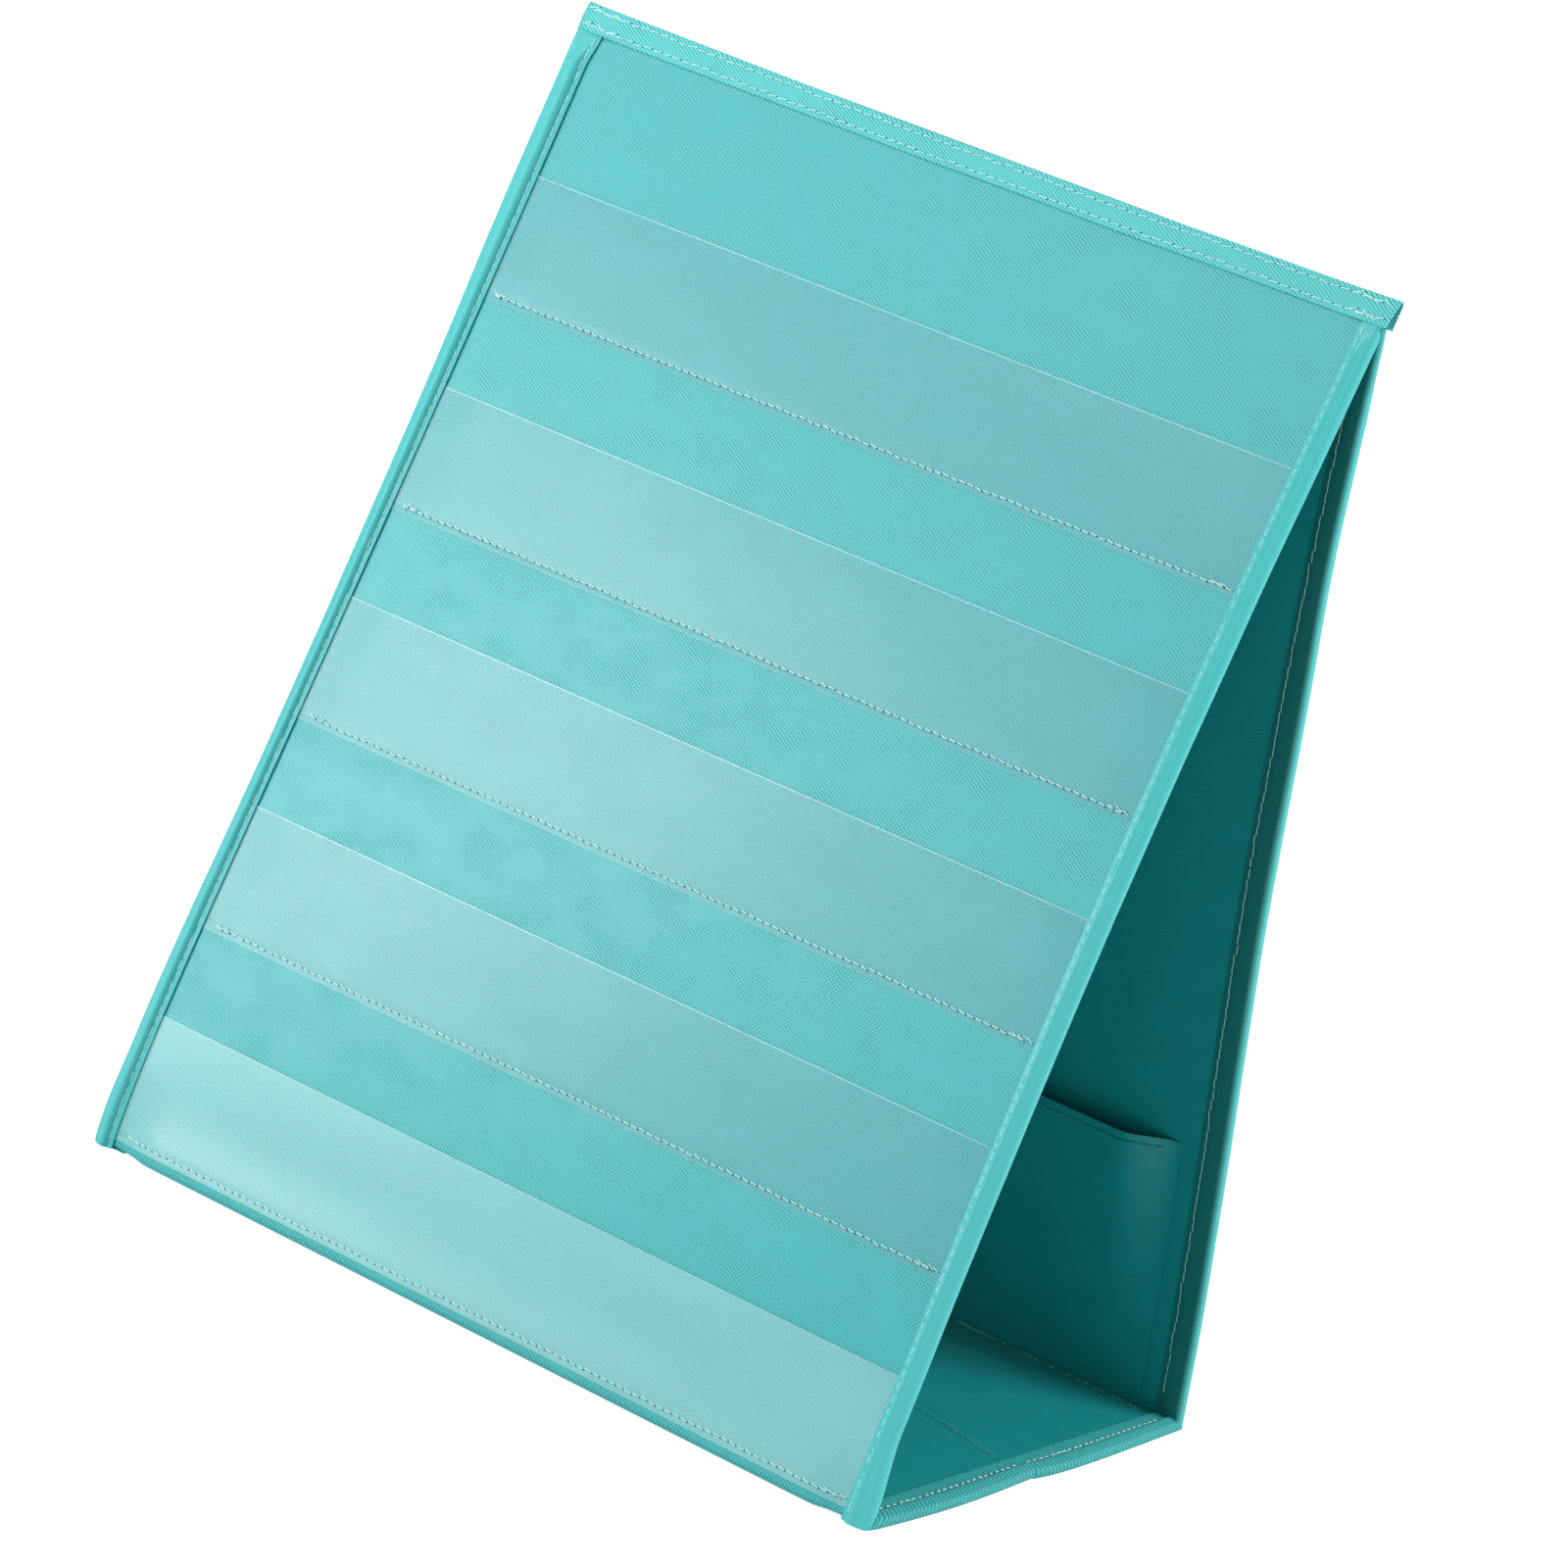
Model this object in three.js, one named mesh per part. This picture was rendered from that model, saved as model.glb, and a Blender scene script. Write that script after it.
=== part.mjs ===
// Tabletop pocket chart. Two stiff panels lean together as a tent on a base that folds upwards along
// its middle. Clear pockets run down both outer faces, and a storage pocket hangs inside the rear panel.
// Millimetres, +Z up. The origin lies on the resting surface, under the middle of the chart.
import * as THREE from 'three'

// Overall sizes. The slant runs up a panel's face, from the bottom corner to the top of the ridge strip.
const chartWidth = 320
const panelSlant = 420
const baseDepth = 214

// Cloth, tape, film, board and thread
const tapeThickness = 0.5
const filmThickness = 0.3
const coverThickness = 0.4
const panelBoardThickness = 1.6
const baseBoardThickness = 1.6
const liningThickness = 0.4
const threadThickness = 0.35

// Clearances between layers, across a fold, at the ridge and round a fold's pivot line
const layerGap = 0.2
const foldGap = 0.25
const ridgeGap = 0.15
const pivotGap = 0.4

// Tapes folded over the side edges, with each seam set in from the tape's inner edge
const panelTapeFace = 9.6
const panelSeamInset = 2
const baseTapeFace = 8.6
const baseSeamInset = 4.3
const tapeFoldRadius = 1.8
const seamEndInset = 3

// Boards stop short of each fold so that the cloth can bend, and short of the tape round the side edge
const boardSetback = 3
const boardEdgeGap = 0.4

// Strip over the ridge, with a seam above its lower edge and another below its fold
const stripHeight = 10
const stripDepth = 2.8
const stripFoldRadius = 1.2
const stripSeamInset = 2.2
const stripTopSeamInset = 3.1
const stripClearance = 0.6

// Clear pockets: the first lies below the top of the strip, and the last is sewn above the panel's foot
const pocketCount = 5
const firstPocketDrop = 61.5
const lastSeamRise = 6.3
const pocketHeight = 42.6
const filmLip = 2.3
const filmTuck = 3

// Storage pocket inside the rear panel
const storageMouthHeight = 105
const storageHalfWidth = 143
const storageMouthDepth = 9
const storageGusset = 20
const storageFootGap = 4
const storageHemDepth = 3

// Counts of flat steps along curved edges
const foldSteps = 5
const threadSides = 8
const gussetSteps = 4
const storageRows = 6

const halfWidth = chartWidth / 2
const halfDepth = baseDepth / 2
const lean = Math.asin(halfDepth / panelSlant)
const rise = Math.cos(lean)
const run = Math.sin(lean)

// Near and far faces of each layer, as depths below the outer face
function laidUp(thicknesses) {
  const spans = {}
  let depth = 0
  for (const [name, thickness] of Object.entries(thicknesses)) {
    spans[name] = { near: depth, far: depth + thickness }
    depth += thickness + layerGap
  }
  return spans
}

const panelLayers = laidUp({
  outerTape: tapeThickness,
  film: filmThickness,
  cover: coverThickness,
  board: panelBoardThickness,
  lining: liningThickness,
  innerTape: tapeThickness,
})
const baseLayers = laidUp({
  outerTape: tapeThickness,
  cover: coverThickness,
  board: baseBoardThickness,
  lining: liningThickness,
  innerTape: tapeThickness,
})
const panelThickness = panelLayers.innerTape.far
const baseThickness = baseLayers.innerTape.far

// The fold between a panel and the base turns about a line just inside both inner faces. Both are cut
// back along the plane from their outer corner to that line.
const pivotDepth = panelThickness + pivotGap
const pivotHeight = baseThickness + pivotGap
const panelPivotAlong = (pivotHeight + pivotDepth * run) / rise
const basePivotAlong = panelPivotAlong * run + pivotDepth * rise

const stripFoot = panelSlant - stripHeight
const stripTop = panelSlant

// Where a panel's layers end at its foot and under the ridge, at a given depth below its outer face
const panelFoot = (depth) => (depth * panelPivotAlong) / pivotDepth + foldGap
const panelRidge = (depth) => (halfDepth - ridgeGap - depth * rise) / run

// Where a base half's layers end at the panel's fold and at the middle fold
const baseFoot = (depth) => (depth * basePivotAlong) / pivotHeight + foldGap
const baseMiddle = () => halfDepth - ridgeGap

const finishes = {
  coverCloth: { color: 0x43b6bb, roughness: 0.62 },
  panelTape: { color: 0x52bfc0, roughness: 0.45 },
  stripTape: { color: 0x60c4c3, roughness: 0.8 },
  baseTape: { color: 0x42b0ad, roughness: 0.8 },
  film: { color: 0x8ac6cc, roughness: 0.25, transparent: true, opacity: 0.5 },
  lining: { color: 0x178a8c, roughness: 0.5 },
  board: { color: 0xb5ad9c, roughness: 0.9 },
  thread: { color: 0xe2f9f6, roughness: 0.6 },
}

function piece(name, finish, geometry) {
  const mesh = new THREE.Mesh(geometry, new THREE.MeshStandardMaterial({ metalness: 0, ...finish }))
  mesh.name = name
  return mesh
}

// In a panel or base half, X runs across the chart, Y inwards from the outer face and Z away from the
// outer fold. A section across the width is drawn as depth and distance from the fold.
const acrossWidth = new THREE.Matrix4().makeBasis(
  new THREE.Vector3(0, 1, 0),
  new THREE.Vector3(0, 0, 1),
  new THREE.Vector3(1, 0, 0),
)

function widthwise(name, finish, section, half) {
  const shape = new THREE.Shape(section.map(([depth, along]) => new THREE.Vector2(depth, along)))
  const geometry = new THREE.ExtrudeGeometry(shape, { depth: 2 * half, bevelEnabled: false })
  const mesh = piece(name, finish, geometry.applyMatrix4(acrossWidth))
  mesh.position.x = -half
  return mesh
}

// A flat layer whose ends follow the folds
function layer(name, finish, span, foot, top, half) {
  const section = [
    [span.near, foot(span.near)],
    [span.far, foot(span.far)],
    [span.far, top(span.far)],
    [span.near, top(span.near)],
  ]
  return widthwise(name, finish, section, half)
}

// Points of a quarter turn about a centre, in steps
function quarterTurn(centreX, centreY, radius, startAngle, turn) {
  const points = []
  for (let step = 0; step <= foldSteps; step += 1) {
    const angle = startAngle + (turn * step * Math.PI) / 2 / foldSteps
    points.push([centreX + radius * Math.cos(angle), centreY + radius * Math.sin(angle)])
  }
  return points
}

// Section of a tape folded over an edge: two legs that reach back from the edge, as [reach, across]
function foldedTape(edge, face, across, radius) {
  const heel = edge - radius
  const innerRadius = radius - tapeThickness
  const farCentre = across - radius
  return [
    [edge - face, 0],
    ...quarterTurn(heel, radius, radius, -Math.PI / 2, 1),
    ...quarterTurn(heel, farCentre, radius, 0, 1),
    [edge - face, across],
    [edge - face, across - tapeThickness],
    ...quarterTurn(heel, farCentre, innerRadius, Math.PI / 2, -1),
    ...quarterTurn(heel, radius, innerRadius, 0, -1),
    [edge - face, tapeThickness],
  ]
}

// A section across the sheet, drawn as [x, depth] and run from the foot to the top of its sheet
function lengthwise(name, finish, section, foot, top) {
  const shape = new THREE.Shape(section.map(([x, depth]) => new THREE.Vector2(x, depth)))
  const geometry = new THREE.ExtrudeGeometry(shape, { depth: 1, bevelEnabled: false })
  const places = geometry.attributes.position
  for (let i = 0; i < places.count; i += 1) {
    const depth = places.getY(i)
    places.setZ(i, THREE.MathUtils.lerp(foot(depth), top(depth), places.getZ(i)))
  }
  return piece(name, finish, geometry)
}

// A run of sewing thread with an eight-sided section
function threadSection(reach, across) {
  const radius = threadThickness / 2
  const points = []
  for (let side = 0; side < threadSides; side += 1) {
    const angle = ((side + 0.5) * 2 * Math.PI) / threadSides
    points.push([reach + radius * Math.cos(angle), across + radius * Math.sin(angle)])
  }
  return points
}

const threadRise = layerGap + threadThickness / 2

// Board, cover, lining and the tapes over both side edges of one panel or base half. The local X axis
// points to the chart's right or left, as `facing` says.
function boundSheet(prefix, sheet) {
  const { layers, thickness, foot, top, tapeFace, facing } = sheet
  const group = new THREE.Group()
  const boardFoot = () => foot(layers.board.far) + boardSetback
  const boardTop = () => sheet.boardTop
  const boardHalf = halfWidth - tapeThickness - boardEdgeGap
  const clothHalf = halfWidth - tapeFoldRadius - layerGap
  group.add(
    layer(`${prefix}_board`, finishes.board, layers.board, boardFoot, boardTop, boardHalf),
    layer(`${prefix}_cover`, finishes.coverCloth, layers.cover, foot, sheet.coverTop, clothHalf),
    layer(`${prefix}_lining`, finishes.lining, layers.lining, foot, top, clothHalf),
  )
  for (const [side, sign] of [['left', -1], ['right', 1]]) {
    const hand = sign * facing
    const tape = foldedTape(halfWidth, tapeFace, thickness, tapeFoldRadius)
    const turned = tape.map(([x, depth]) => [hand * x, depth])
    group.add(lengthwise(`${prefix}_${side}_binding`, sheet.tapeFinish, turned, foot, top))
    const seamPlace = hand * (halfWidth - tapeFace + sheet.seamInset)
    const seam = threadSection(seamPlace, sheet.seamDepth)
    const seamFoot = () => foot(thickness) + seamEndInset
    const seamTop = () => top(0) - seamEndInset
    group.add(lengthwise(`${prefix}_${side}_seam`, finishes.thread, seam, seamFoot, seamTop))
  }
  return group
}

// Clear pockets: each is a strip of film, open along its top edge and sewn down above its lower lip
function clearPockets(prefix) {
  const group = new THREE.Group()
  const film = panelLayers.film
  const lastMouth = lastSeamRise + pocketHeight
  const pitch = (panelSlant - firstPocketDrop - lastMouth) / (pocketCount - 1)
  const filmHalf = halfWidth - panelTapeFace + filmTuck
  const seamHalf = halfWidth - panelTapeFace - seamEndInset
  for (let row = 0; row < pocketCount; row += 1) {
    const mouth = panelSlant - firstPocketDrop - row * pitch
    const seamPlace = mouth - pocketHeight
    const lip = seamPlace - filmLip
    const name = `${prefix}_pocket_${row + 1}`
    const seam = threadSection(seamPlace, film.near - threadRise).map(([along, depth]) => [depth, along])
    group.add(
      layer(name, finishes.film, film, () => lip, () => mouth, filmHalf),
      widthwise(`${name}_seam`, finishes.thread, seam, seamHalf),
    )
  }
  return group
}

function panel(prefix, facing, clothTop, coverTop) {
  const top = (depth) => Math.min(panelRidge(depth), clothTop)
  const group = boundSheet(prefix, {
    layers: panelLayers,
    thickness: panelThickness,
    foot: panelFoot,
    top,
    coverTop,
    boardTop: panelRidge(panelThickness) - boardSetback,
    tapeFace: panelTapeFace,
    tapeFinish: finishes.panelTape,
    seamInset: panelSeamInset,
    seamDepth: -threadRise,
    facing,
  })
  group.add(clearPockets(prefix))
  group.position.y = -halfDepth
  group.rotation.x = -lean
  return group
}

function baseHalf(prefix, facing) {
  const group = boundSheet(prefix, {
    layers: baseLayers,
    thickness: baseThickness,
    foot: baseFoot,
    top: baseMiddle,
    coverTop: baseMiddle,
    boardTop: baseMiddle() - boardSetback,
    tapeFace: baseTapeFace,
    tapeFinish: finishes.baseTape,
    seamInset: baseSeamInset,
    seamDepth: baseThickness + threadRise,
    facing: -facing,
  })
  group.position.y = -halfDepth
  group.rotation.set(-Math.PI / 2, 0, Math.PI)
  return group
}

// Woven strip folded over the ridge, with its two seams on the front
function ridgeStrip() {
  const group = new THREE.Group()
  const tape = foldedTape(stripTop, stripHeight, stripDepth, stripFoldRadius)
  const upright = tape.map(([along, depth]) => [depth, along])
  group.add(widthwise('top_binding', finishes.stripTape, upright, halfWidth))
  const seamHalf = halfWidth - seamEndInset
  for (const [place, along] of [
    ['lower', stripFoot + stripSeamInset],
    ['upper', stripTop - stripTopSeamInset],
  ]) {
    const seam = threadSection(along, -threadRise).map(([reach, depth]) => [depth, reach])
    group.add(widthwise(`top_binding_${place}_seam`, finishes.thread, seam, seamHalf))
  }
  return group
}

// Places across the storage pocket, from one sewn side to the other, with the share of full depth there
function storageColumns() {
  const columns = []
  for (let step = 0; step <= gussetSteps; step += 1) {
    const share = step / gussetSteps
    const fullness = THREE.MathUtils.smoothstep(share, 0, 1)
    columns.push({ x: -storageHalfWidth + share * storageGusset, fullness })
  }
  const mirrored = columns.map(({ x, fullness }) => ({ x: -x, fullness })).reverse()
  return [...columns, ...mirrored]
}

// A closed sheet over a grid of places: `inner` and `outer` give each corner on the two faces
function sheetOverGrid(columnCount, rowCount, inner, outer) {
  const points = []
  for (const face of [inner, outer]) {
    for (let row = 0; row < rowCount; row += 1) {
      for (let column = 0; column < columnCount; column += 1) {
        points.push(...face(column, row))
      }
    }
  }
  const at = (face, column, row) => (face * rowCount + row) * columnCount + column
  const index = []
  const quad = (a, b, c, d) => index.push(a, b, c, a, c, d)
  const lastColumn = columnCount - 1
  const lastRow = rowCount - 1
  for (let row = 0; row < lastRow; row += 1) {
    for (let column = 0; column < lastColumn; column += 1) {
      quad(at(0, column, row), at(0, column + 1, row), at(0, column + 1, row + 1), at(0, column, row + 1))
      quad(at(1, column, row), at(1, column, row + 1), at(1, column + 1, row + 1), at(1, column + 1, row))
    }
    quad(at(0, 0, row), at(0, 0, row + 1), at(1, 0, row + 1), at(1, 0, row))
    quad(at(0, lastColumn, row), at(1, lastColumn, row), at(1, lastColumn, row + 1), at(0, lastColumn, row + 1))
  }
  for (let column = 0; column < lastColumn; column += 1) {
    quad(at(0, column, 0), at(1, column, 0), at(1, column + 1, 0), at(0, column + 1, 0))
    quad(at(0, column, lastRow), at(0, column + 1, lastRow), at(1, column + 1, lastRow), at(1, column, lastRow))
  }
  const geometry = new THREE.BufferGeometry()
  geometry.setAttribute('position', new THREE.Float32BufferAttribute(points, 3))
  geometry.setIndex(index)
  geometry.computeVertexNormals()
  return geometry
}

// Storage pocket: one cloth wall sewn to the lining along its sides and foot, standing off at its mouth
function storagePocket() {
  const group = new THREE.Group()
  const lining = panelLayers.lining.far
  const foot = panelPivotAlong + storageFootGap
  const mouth = (storageMouthHeight + lining * run) / rise
  const columns = storageColumns()
  const standOff = storageMouthDepth - layerGap - coverThickness
  const heightAt = (share, fullness) => lining + layerGap + standOff * share * fullness
  const face = (extra) => (column, row) => {
    const { x, fullness } = columns[column]
    const share = row / storageRows
    return [x, heightAt(share, fullness) + extra, THREE.MathUtils.lerp(foot, mouth, share)]
  }
  const wall = sheetOverGrid(columns.length, storageRows + 1, face(0), face(coverThickness))
  group.add(piece('storage_pocket', finishes.lining, wall))
  const hem = mouth - storageHemDepth
  const hemShare = (hem - foot) / (mouth - foot)
  const hemDepth = heightAt(hemShare, 1) + coverThickness + threadRise
  const seam = threadSection(hem, hemDepth).map(([along, depth]) => [depth, along])
  const seamHalf = storageHalfWidth - storageGusset
  group.add(widthwise('storage_pocket_seam', finishes.thread, seam, seamHalf))
  group.position.y = -halfDepth
  group.rotation.x = -lean
  return group
}

const front = new THREE.Group()
const frontCoverTop = () => stripTop - tapeThickness - layerGap
const frontPanel = panel('front', 1, stripFoot - foldGap, frontCoverTop)
frontPanel.add(ridgeStrip())
front.add(frontPanel, baseHalf('base_front', 1))

// The rear half is the front half turned about the vertical, so its own X axis points to the left
const rear = new THREE.Group()
const rearClothTop = stripFoot - stripClearance
rear.add(panel('back', -1, rearClothTop, () => rearClothTop), baseHalf('base_rear', -1), storagePocket())
rear.rotation.z = Math.PI

const group = new THREE.Group()
group.add(front, rear)

export default group
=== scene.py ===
"""Dressing for the tabletop pocket chart: cloth, tape, film, thread, light and camera.

Each sheet is cut flat on the bench in millimetres, folded and sewn there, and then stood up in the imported
model's frame in metres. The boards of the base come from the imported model.
"""

from __future__ import annotations

import logging
import math
import random
from dataclasses import dataclass, field
from enum import Enum
from typing import Any, Callable

import bmesh
import bpy
from mathutils import Matrix, Vector


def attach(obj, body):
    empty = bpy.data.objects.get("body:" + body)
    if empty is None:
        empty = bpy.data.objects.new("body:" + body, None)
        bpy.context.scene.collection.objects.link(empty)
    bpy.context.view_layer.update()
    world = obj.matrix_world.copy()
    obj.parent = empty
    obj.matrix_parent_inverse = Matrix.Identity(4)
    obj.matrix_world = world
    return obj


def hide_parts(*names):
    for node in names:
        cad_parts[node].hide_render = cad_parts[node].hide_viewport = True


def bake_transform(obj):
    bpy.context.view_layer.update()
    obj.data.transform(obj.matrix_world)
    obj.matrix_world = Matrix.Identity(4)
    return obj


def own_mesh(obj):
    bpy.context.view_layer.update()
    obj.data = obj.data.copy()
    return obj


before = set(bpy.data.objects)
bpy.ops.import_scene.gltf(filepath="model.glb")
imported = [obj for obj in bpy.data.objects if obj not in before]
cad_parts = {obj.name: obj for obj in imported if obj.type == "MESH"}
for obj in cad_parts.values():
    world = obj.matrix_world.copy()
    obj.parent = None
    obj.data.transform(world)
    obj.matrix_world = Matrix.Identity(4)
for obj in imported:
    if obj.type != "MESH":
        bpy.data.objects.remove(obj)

LOG = logging.getLogger("pocket_chart")
MM = 0.001
CUT_MAP = "cut_mm"
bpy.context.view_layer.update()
WHITE = "FFFFFF"
# The Wave node runs its bands this many times faster than the place it is given.
DIAGONAL_BANDS, STRAIGHT_BANDS = 10, 20
# The Mix node has a set of sockets for each kind of data under the same names, so they go by number.
MIX_SHARE, MIX_VALUE_A, MIX_VALUE_B, MIX_COLOUR_A, MIX_COLOUR_B = 0, 2, 3, 6, 7
MIX_VALUE_OUT, MIX_COLOUR_OUT = 0, 2


def smooth(share: float) -> float:
    """Ease a share from 0 to 1, held at both ends."""
    share = min(max(share, 0.0), 1.0)
    return share * share * (3 - 2 * share)


def ease(place: float, start: float, full: float) -> float:
    """Ease from 0 at one place to 1 at another, held beyond them."""
    return smooth((place - start) / (full - start))


def bell(off: float, width: float) -> float:
    """A soft bump: 1 in the middle, and about a third of that at its width."""
    return math.exp(-((off / width) ** 2))


def mix(a: float, b: float, share: float) -> float:
    """Go from a to b by a share."""
    return a + (b - a) * share


def linear_colour(code: str) -> tuple[float, float, float, float]:
    """Turn an sRGB hex colour into the linear colour that Blender's sockets take.

    Args:
        code: Six hex digits.

    Returns:
        Red, green and blue in linear light, with full opacity.
    """
    parts = [int(code[i : i + 2], 16) / 255 for i in (0, 2, 4)]
    red, green, blue = (c / 12.92 if c <= 0.04045 else ((c + 0.055) / 1.055) ** 2.4 for c in parts)
    return red, green, blue, 1.0


def add_node(
    tree: bpy.types.NodeTree, kind: str, inputs: dict[Any, Any] | None = None, **settings: Any
) -> bpy.types.Node:
    """Add a node with its settings, plain values and links.

    Args:
        tree: The material's or world's tree.
        kind: The node's type name.
        inputs: Values or output sockets by input name or number.
        **settings: The node's own properties.

    Returns:
        The new node.
    """
    node = tree.nodes.new(kind)
    for name, value in settings.items():
        setattr(node, name, value)
    for key, value in (inputs or {}).items():
        if isinstance(value, bpy.types.NodeSocket):
            tree.links.new(value, node.inputs[key])
        else:
            node.inputs[key].default_value = value
    return node


def deselect_all() -> None:
    """Leave nothing selected, so that an operator acts on one piece."""
    if bpy.context.object and bpy.context.object.mode != "OBJECT":
        bpy.ops.object.mode_set(mode="OBJECT")
    bpy.ops.object.select_all(action="DESELECT")


def stops(start: float, *runs: tuple[float, int]) -> list[float]:
    """List the places of the grid lines over several runs.

    Args:
        start: The first place.
        *runs: For each run, where it ends and its number of steps.

    Returns:
        The places in order, both ends included.
    """
    places = [start]
    for end, count in runs:
        first = places[-1]
        places += [mix(first, end, (i + 1) / count) for i in range(count)]
    return places


@dataclass
class Ripple:
    """Soft unevenness of cloth: a few long waves that run in different directions.

    Args:
        height: About how high the waves reach, in mm.
        wavelength: The shortest wave, in mm.
        seed: Fixes the waves.
    """

    height: float
    wavelength: float
    seed: int
    waves: list[tuple[float, float, float]] = field(default_factory=list)

    def __post_init__(self) -> None:
        """Draw the waves."""
        draw = random.Random(self.seed)
        for _ in range(5):
            length = self.wavelength * draw.uniform(1.0, 2.4)
            turn, phase = draw.uniform(0, math.pi), draw.uniform(0, math.tau)
            self.waves.append((math.cos(turn) * math.tau / length, math.sin(turn) * math.tau / length, phase))

    def at(self, u: float, v: float) -> float:
        """Height at a place on the cloth, in mm."""
        return self.height * sum(math.sin(a * u + b * v + c) for a, b, c in self.waves) / 3


@dataclass
class Coat:
    """One material in the making.

    Args:
        tree: Its nodes.
        shader: Its shader.
        colour: Its sRGB hex colour.
    """

    tree: bpy.types.NodeTree
    shader: bpy.types.Node
    colour: str

    def add(self, kind: str, inputs: dict[Any, Any] | None = None, **settings: Any) -> bpy.types.Node:
        """Add a node to the material, as add_node does."""
        return add_node(self.tree, kind, inputs, **settings)

    def set_levels(self, levels: dict[str, Any]) -> None:
        """Set plain values on the shader's own sockets."""
        for name, level in levels.items():
            self.shader.inputs[name].default_value = level

    def cut_place(self, across: float, along: float) -> bpy.types.NodeSocket:
        """Place on the flat cut.

        Args:
            across: Scale across the cut, for each mm.
            along: Scale along the cut, for each mm.

        Returns:
            The scaled place.
        """
        place = self.add("ShaderNodeUVMap", uv_map=CUT_MAP).outputs["UV"]
        scale = (across, along, 1)
        return self.add("ShaderNodeMapping", {"Vector": place, "Scale": scale}).outputs["Vector"]

    def swing(self, pattern: bpy.types.NodeSocket, share: float) -> bpy.types.NodeSocket:
        """Turn a pattern from 0 to 1 into a factor round 1.

        Args:
            pattern: The pattern's value.
            share: How far the factor swings.

        Returns:
            The factor.
        """
        low, high = 1 - share, 1 + share
        inputs = {"Value": pattern, "From Min": 0.2, "From Max": 0.8, "To Min": low, "To Max": high}
        return self.add("ShaderNodeMapRange", inputs).outputs["Result"]

    def stain(self, *factors: bpy.types.NodeSocket) -> None:
        """Multiply the colour by factors and give it to the shader.

        Args:
            *factors: The factors.
        """
        colour: Any = linear_colour(self.colour)
        for factor in factors:
            inputs = {MIX_SHARE: 1.0, MIX_COLOUR_A: colour, MIX_COLOUR_B: factor}
            node = self.add("ShaderNodeMix", inputs, data_type="RGBA", blend_type="MULTIPLY")
            colour = node.outputs[MIX_COLOUR_OUT]
        self.tree.links.new(colour, self.shader.inputs["Base Color"])

    def emboss(self, height: bpy.types.NodeSocket, relief: float) -> None:
        """Raise a pattern from the surface.

        Args:
            height: The pattern's height, from 0 to 1.
            relief: How high it stands, in mm.
        """
        bump = self.add("ShaderNodeBump", {"Height": height, "Strength": 1.0, "Distance": relief * MM})
        self.tree.links.new(bump.outputs["Normal"], self.shader.inputs["Normal"])


@dataclass(frozen=True)
class Finish:
    """A surface finish, built as one material.

    Args:
        name: The material's name.
        colour: Its sRGB hex colour.
        roughness: The shader's roughness.
    """

    name: str
    colour: str
    roughness: float

    def build(self) -> bpy.types.Material:
        """Make the material and dress its shader.

        Returns:
            The material.
        """
        material = bpy.data.materials.new(self.name)
        material.use_nodes = True
        tree = material.node_tree
        coat = Coat(tree, tree.nodes["Principled BSDF"], self.colour)
        coat.set_levels({"Roughness": self.roughness, "Base Color": linear_colour(self.colour)})
        self.dress(coat)
        return material

    def dress(self, coat: Coat) -> None:
        """Add the finish's own pattern. A plain finish has none."""


@dataclass(frozen=True)
class WovenCloth(Finish):
    """Plain-woven polyester: rows of small crowns that read as fine slanting lines, with a faint sheen.

    Args:
        thread: Distance from line to line, in mm.
        relief: Height of the crowns, in mm.
        contrast: How much darker the gaps between threads are.
        slant: Share of the lines that run down to the right.
        patch: How much the colour drifts over the cloth.
        sheen: Weight of the soft sheen at grazing angles.
        gloss: Level of the filaments' mirror light.
    """

    thread: float = 1.05
    relief: float = 0.07
    contrast: float = 0.42
    slant: float = 0.56
    patch: float = 0.05
    sheen: float = 0.04
    gloss: float = 0.5

    def dress(self, coat: Coat) -> None:
        """Weave the threads into the colour and the relief.

        Args:
            coat: The material in the making.
        """
        turns = math.tau / (DIAGONAL_BANDS * self.thread)
        rows = []
        for across, along in ((0.49, 0.87), (-0.77, 0.63)):
            place = coat.cut_place(turns * across, turns * along)
            inputs = {"Vector": place, "Scale": 1.0, "Distortion": 1.4, "Detail": 1.0, "Detail Scale": 1.4}
            wave = coat.add("ShaderNodeTexWave", inputs, wave_type="BANDS", bands_direction="DIAGONAL")
            rows.append(wave.outputs["Fac"])
        inputs = {MIX_SHARE: 1 - self.slant, MIX_VALUE_A: rows[0], MIX_VALUE_B: rows[1]}
        lattice = coat.add("ShaderNodeMix", inputs, data_type="FLOAT").outputs[MIX_VALUE_OUT]
        inputs = {"Vector": coat.cut_place(1 / 22, 1 / 15), "Scale": 1.0, "Detail": 2.0, "Roughness": 0.6}
        drift = coat.add("ShaderNodeTexNoise", inputs).outputs["Fac"]
        inputs = {"Value": drift, "From Min": 0.38, "From Max": 0.66, "To Min": 0.3, "To Max": 1.0}
        clearness = coat.add("ShaderNodeMapRange", inputs).outputs["Result"]
        inputs = {MIX_SHARE: clearness, MIX_VALUE_A: 0.5, MIX_VALUE_B: lattice}
        crowns = coat.add("ShaderNodeMix", inputs, data_type="FLOAT").outputs[MIX_VALUE_OUT]
        coat.stain(coat.swing(crowns, self.contrast), coat.swing(drift, -self.patch))
        coat.emboss(crowns, self.relief)
        coat.set_levels({"Specular IOR Level": self.gloss})
        coat.set_levels({"Sheen Weight": self.sheen, "Sheen Roughness": 0.4})


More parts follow.
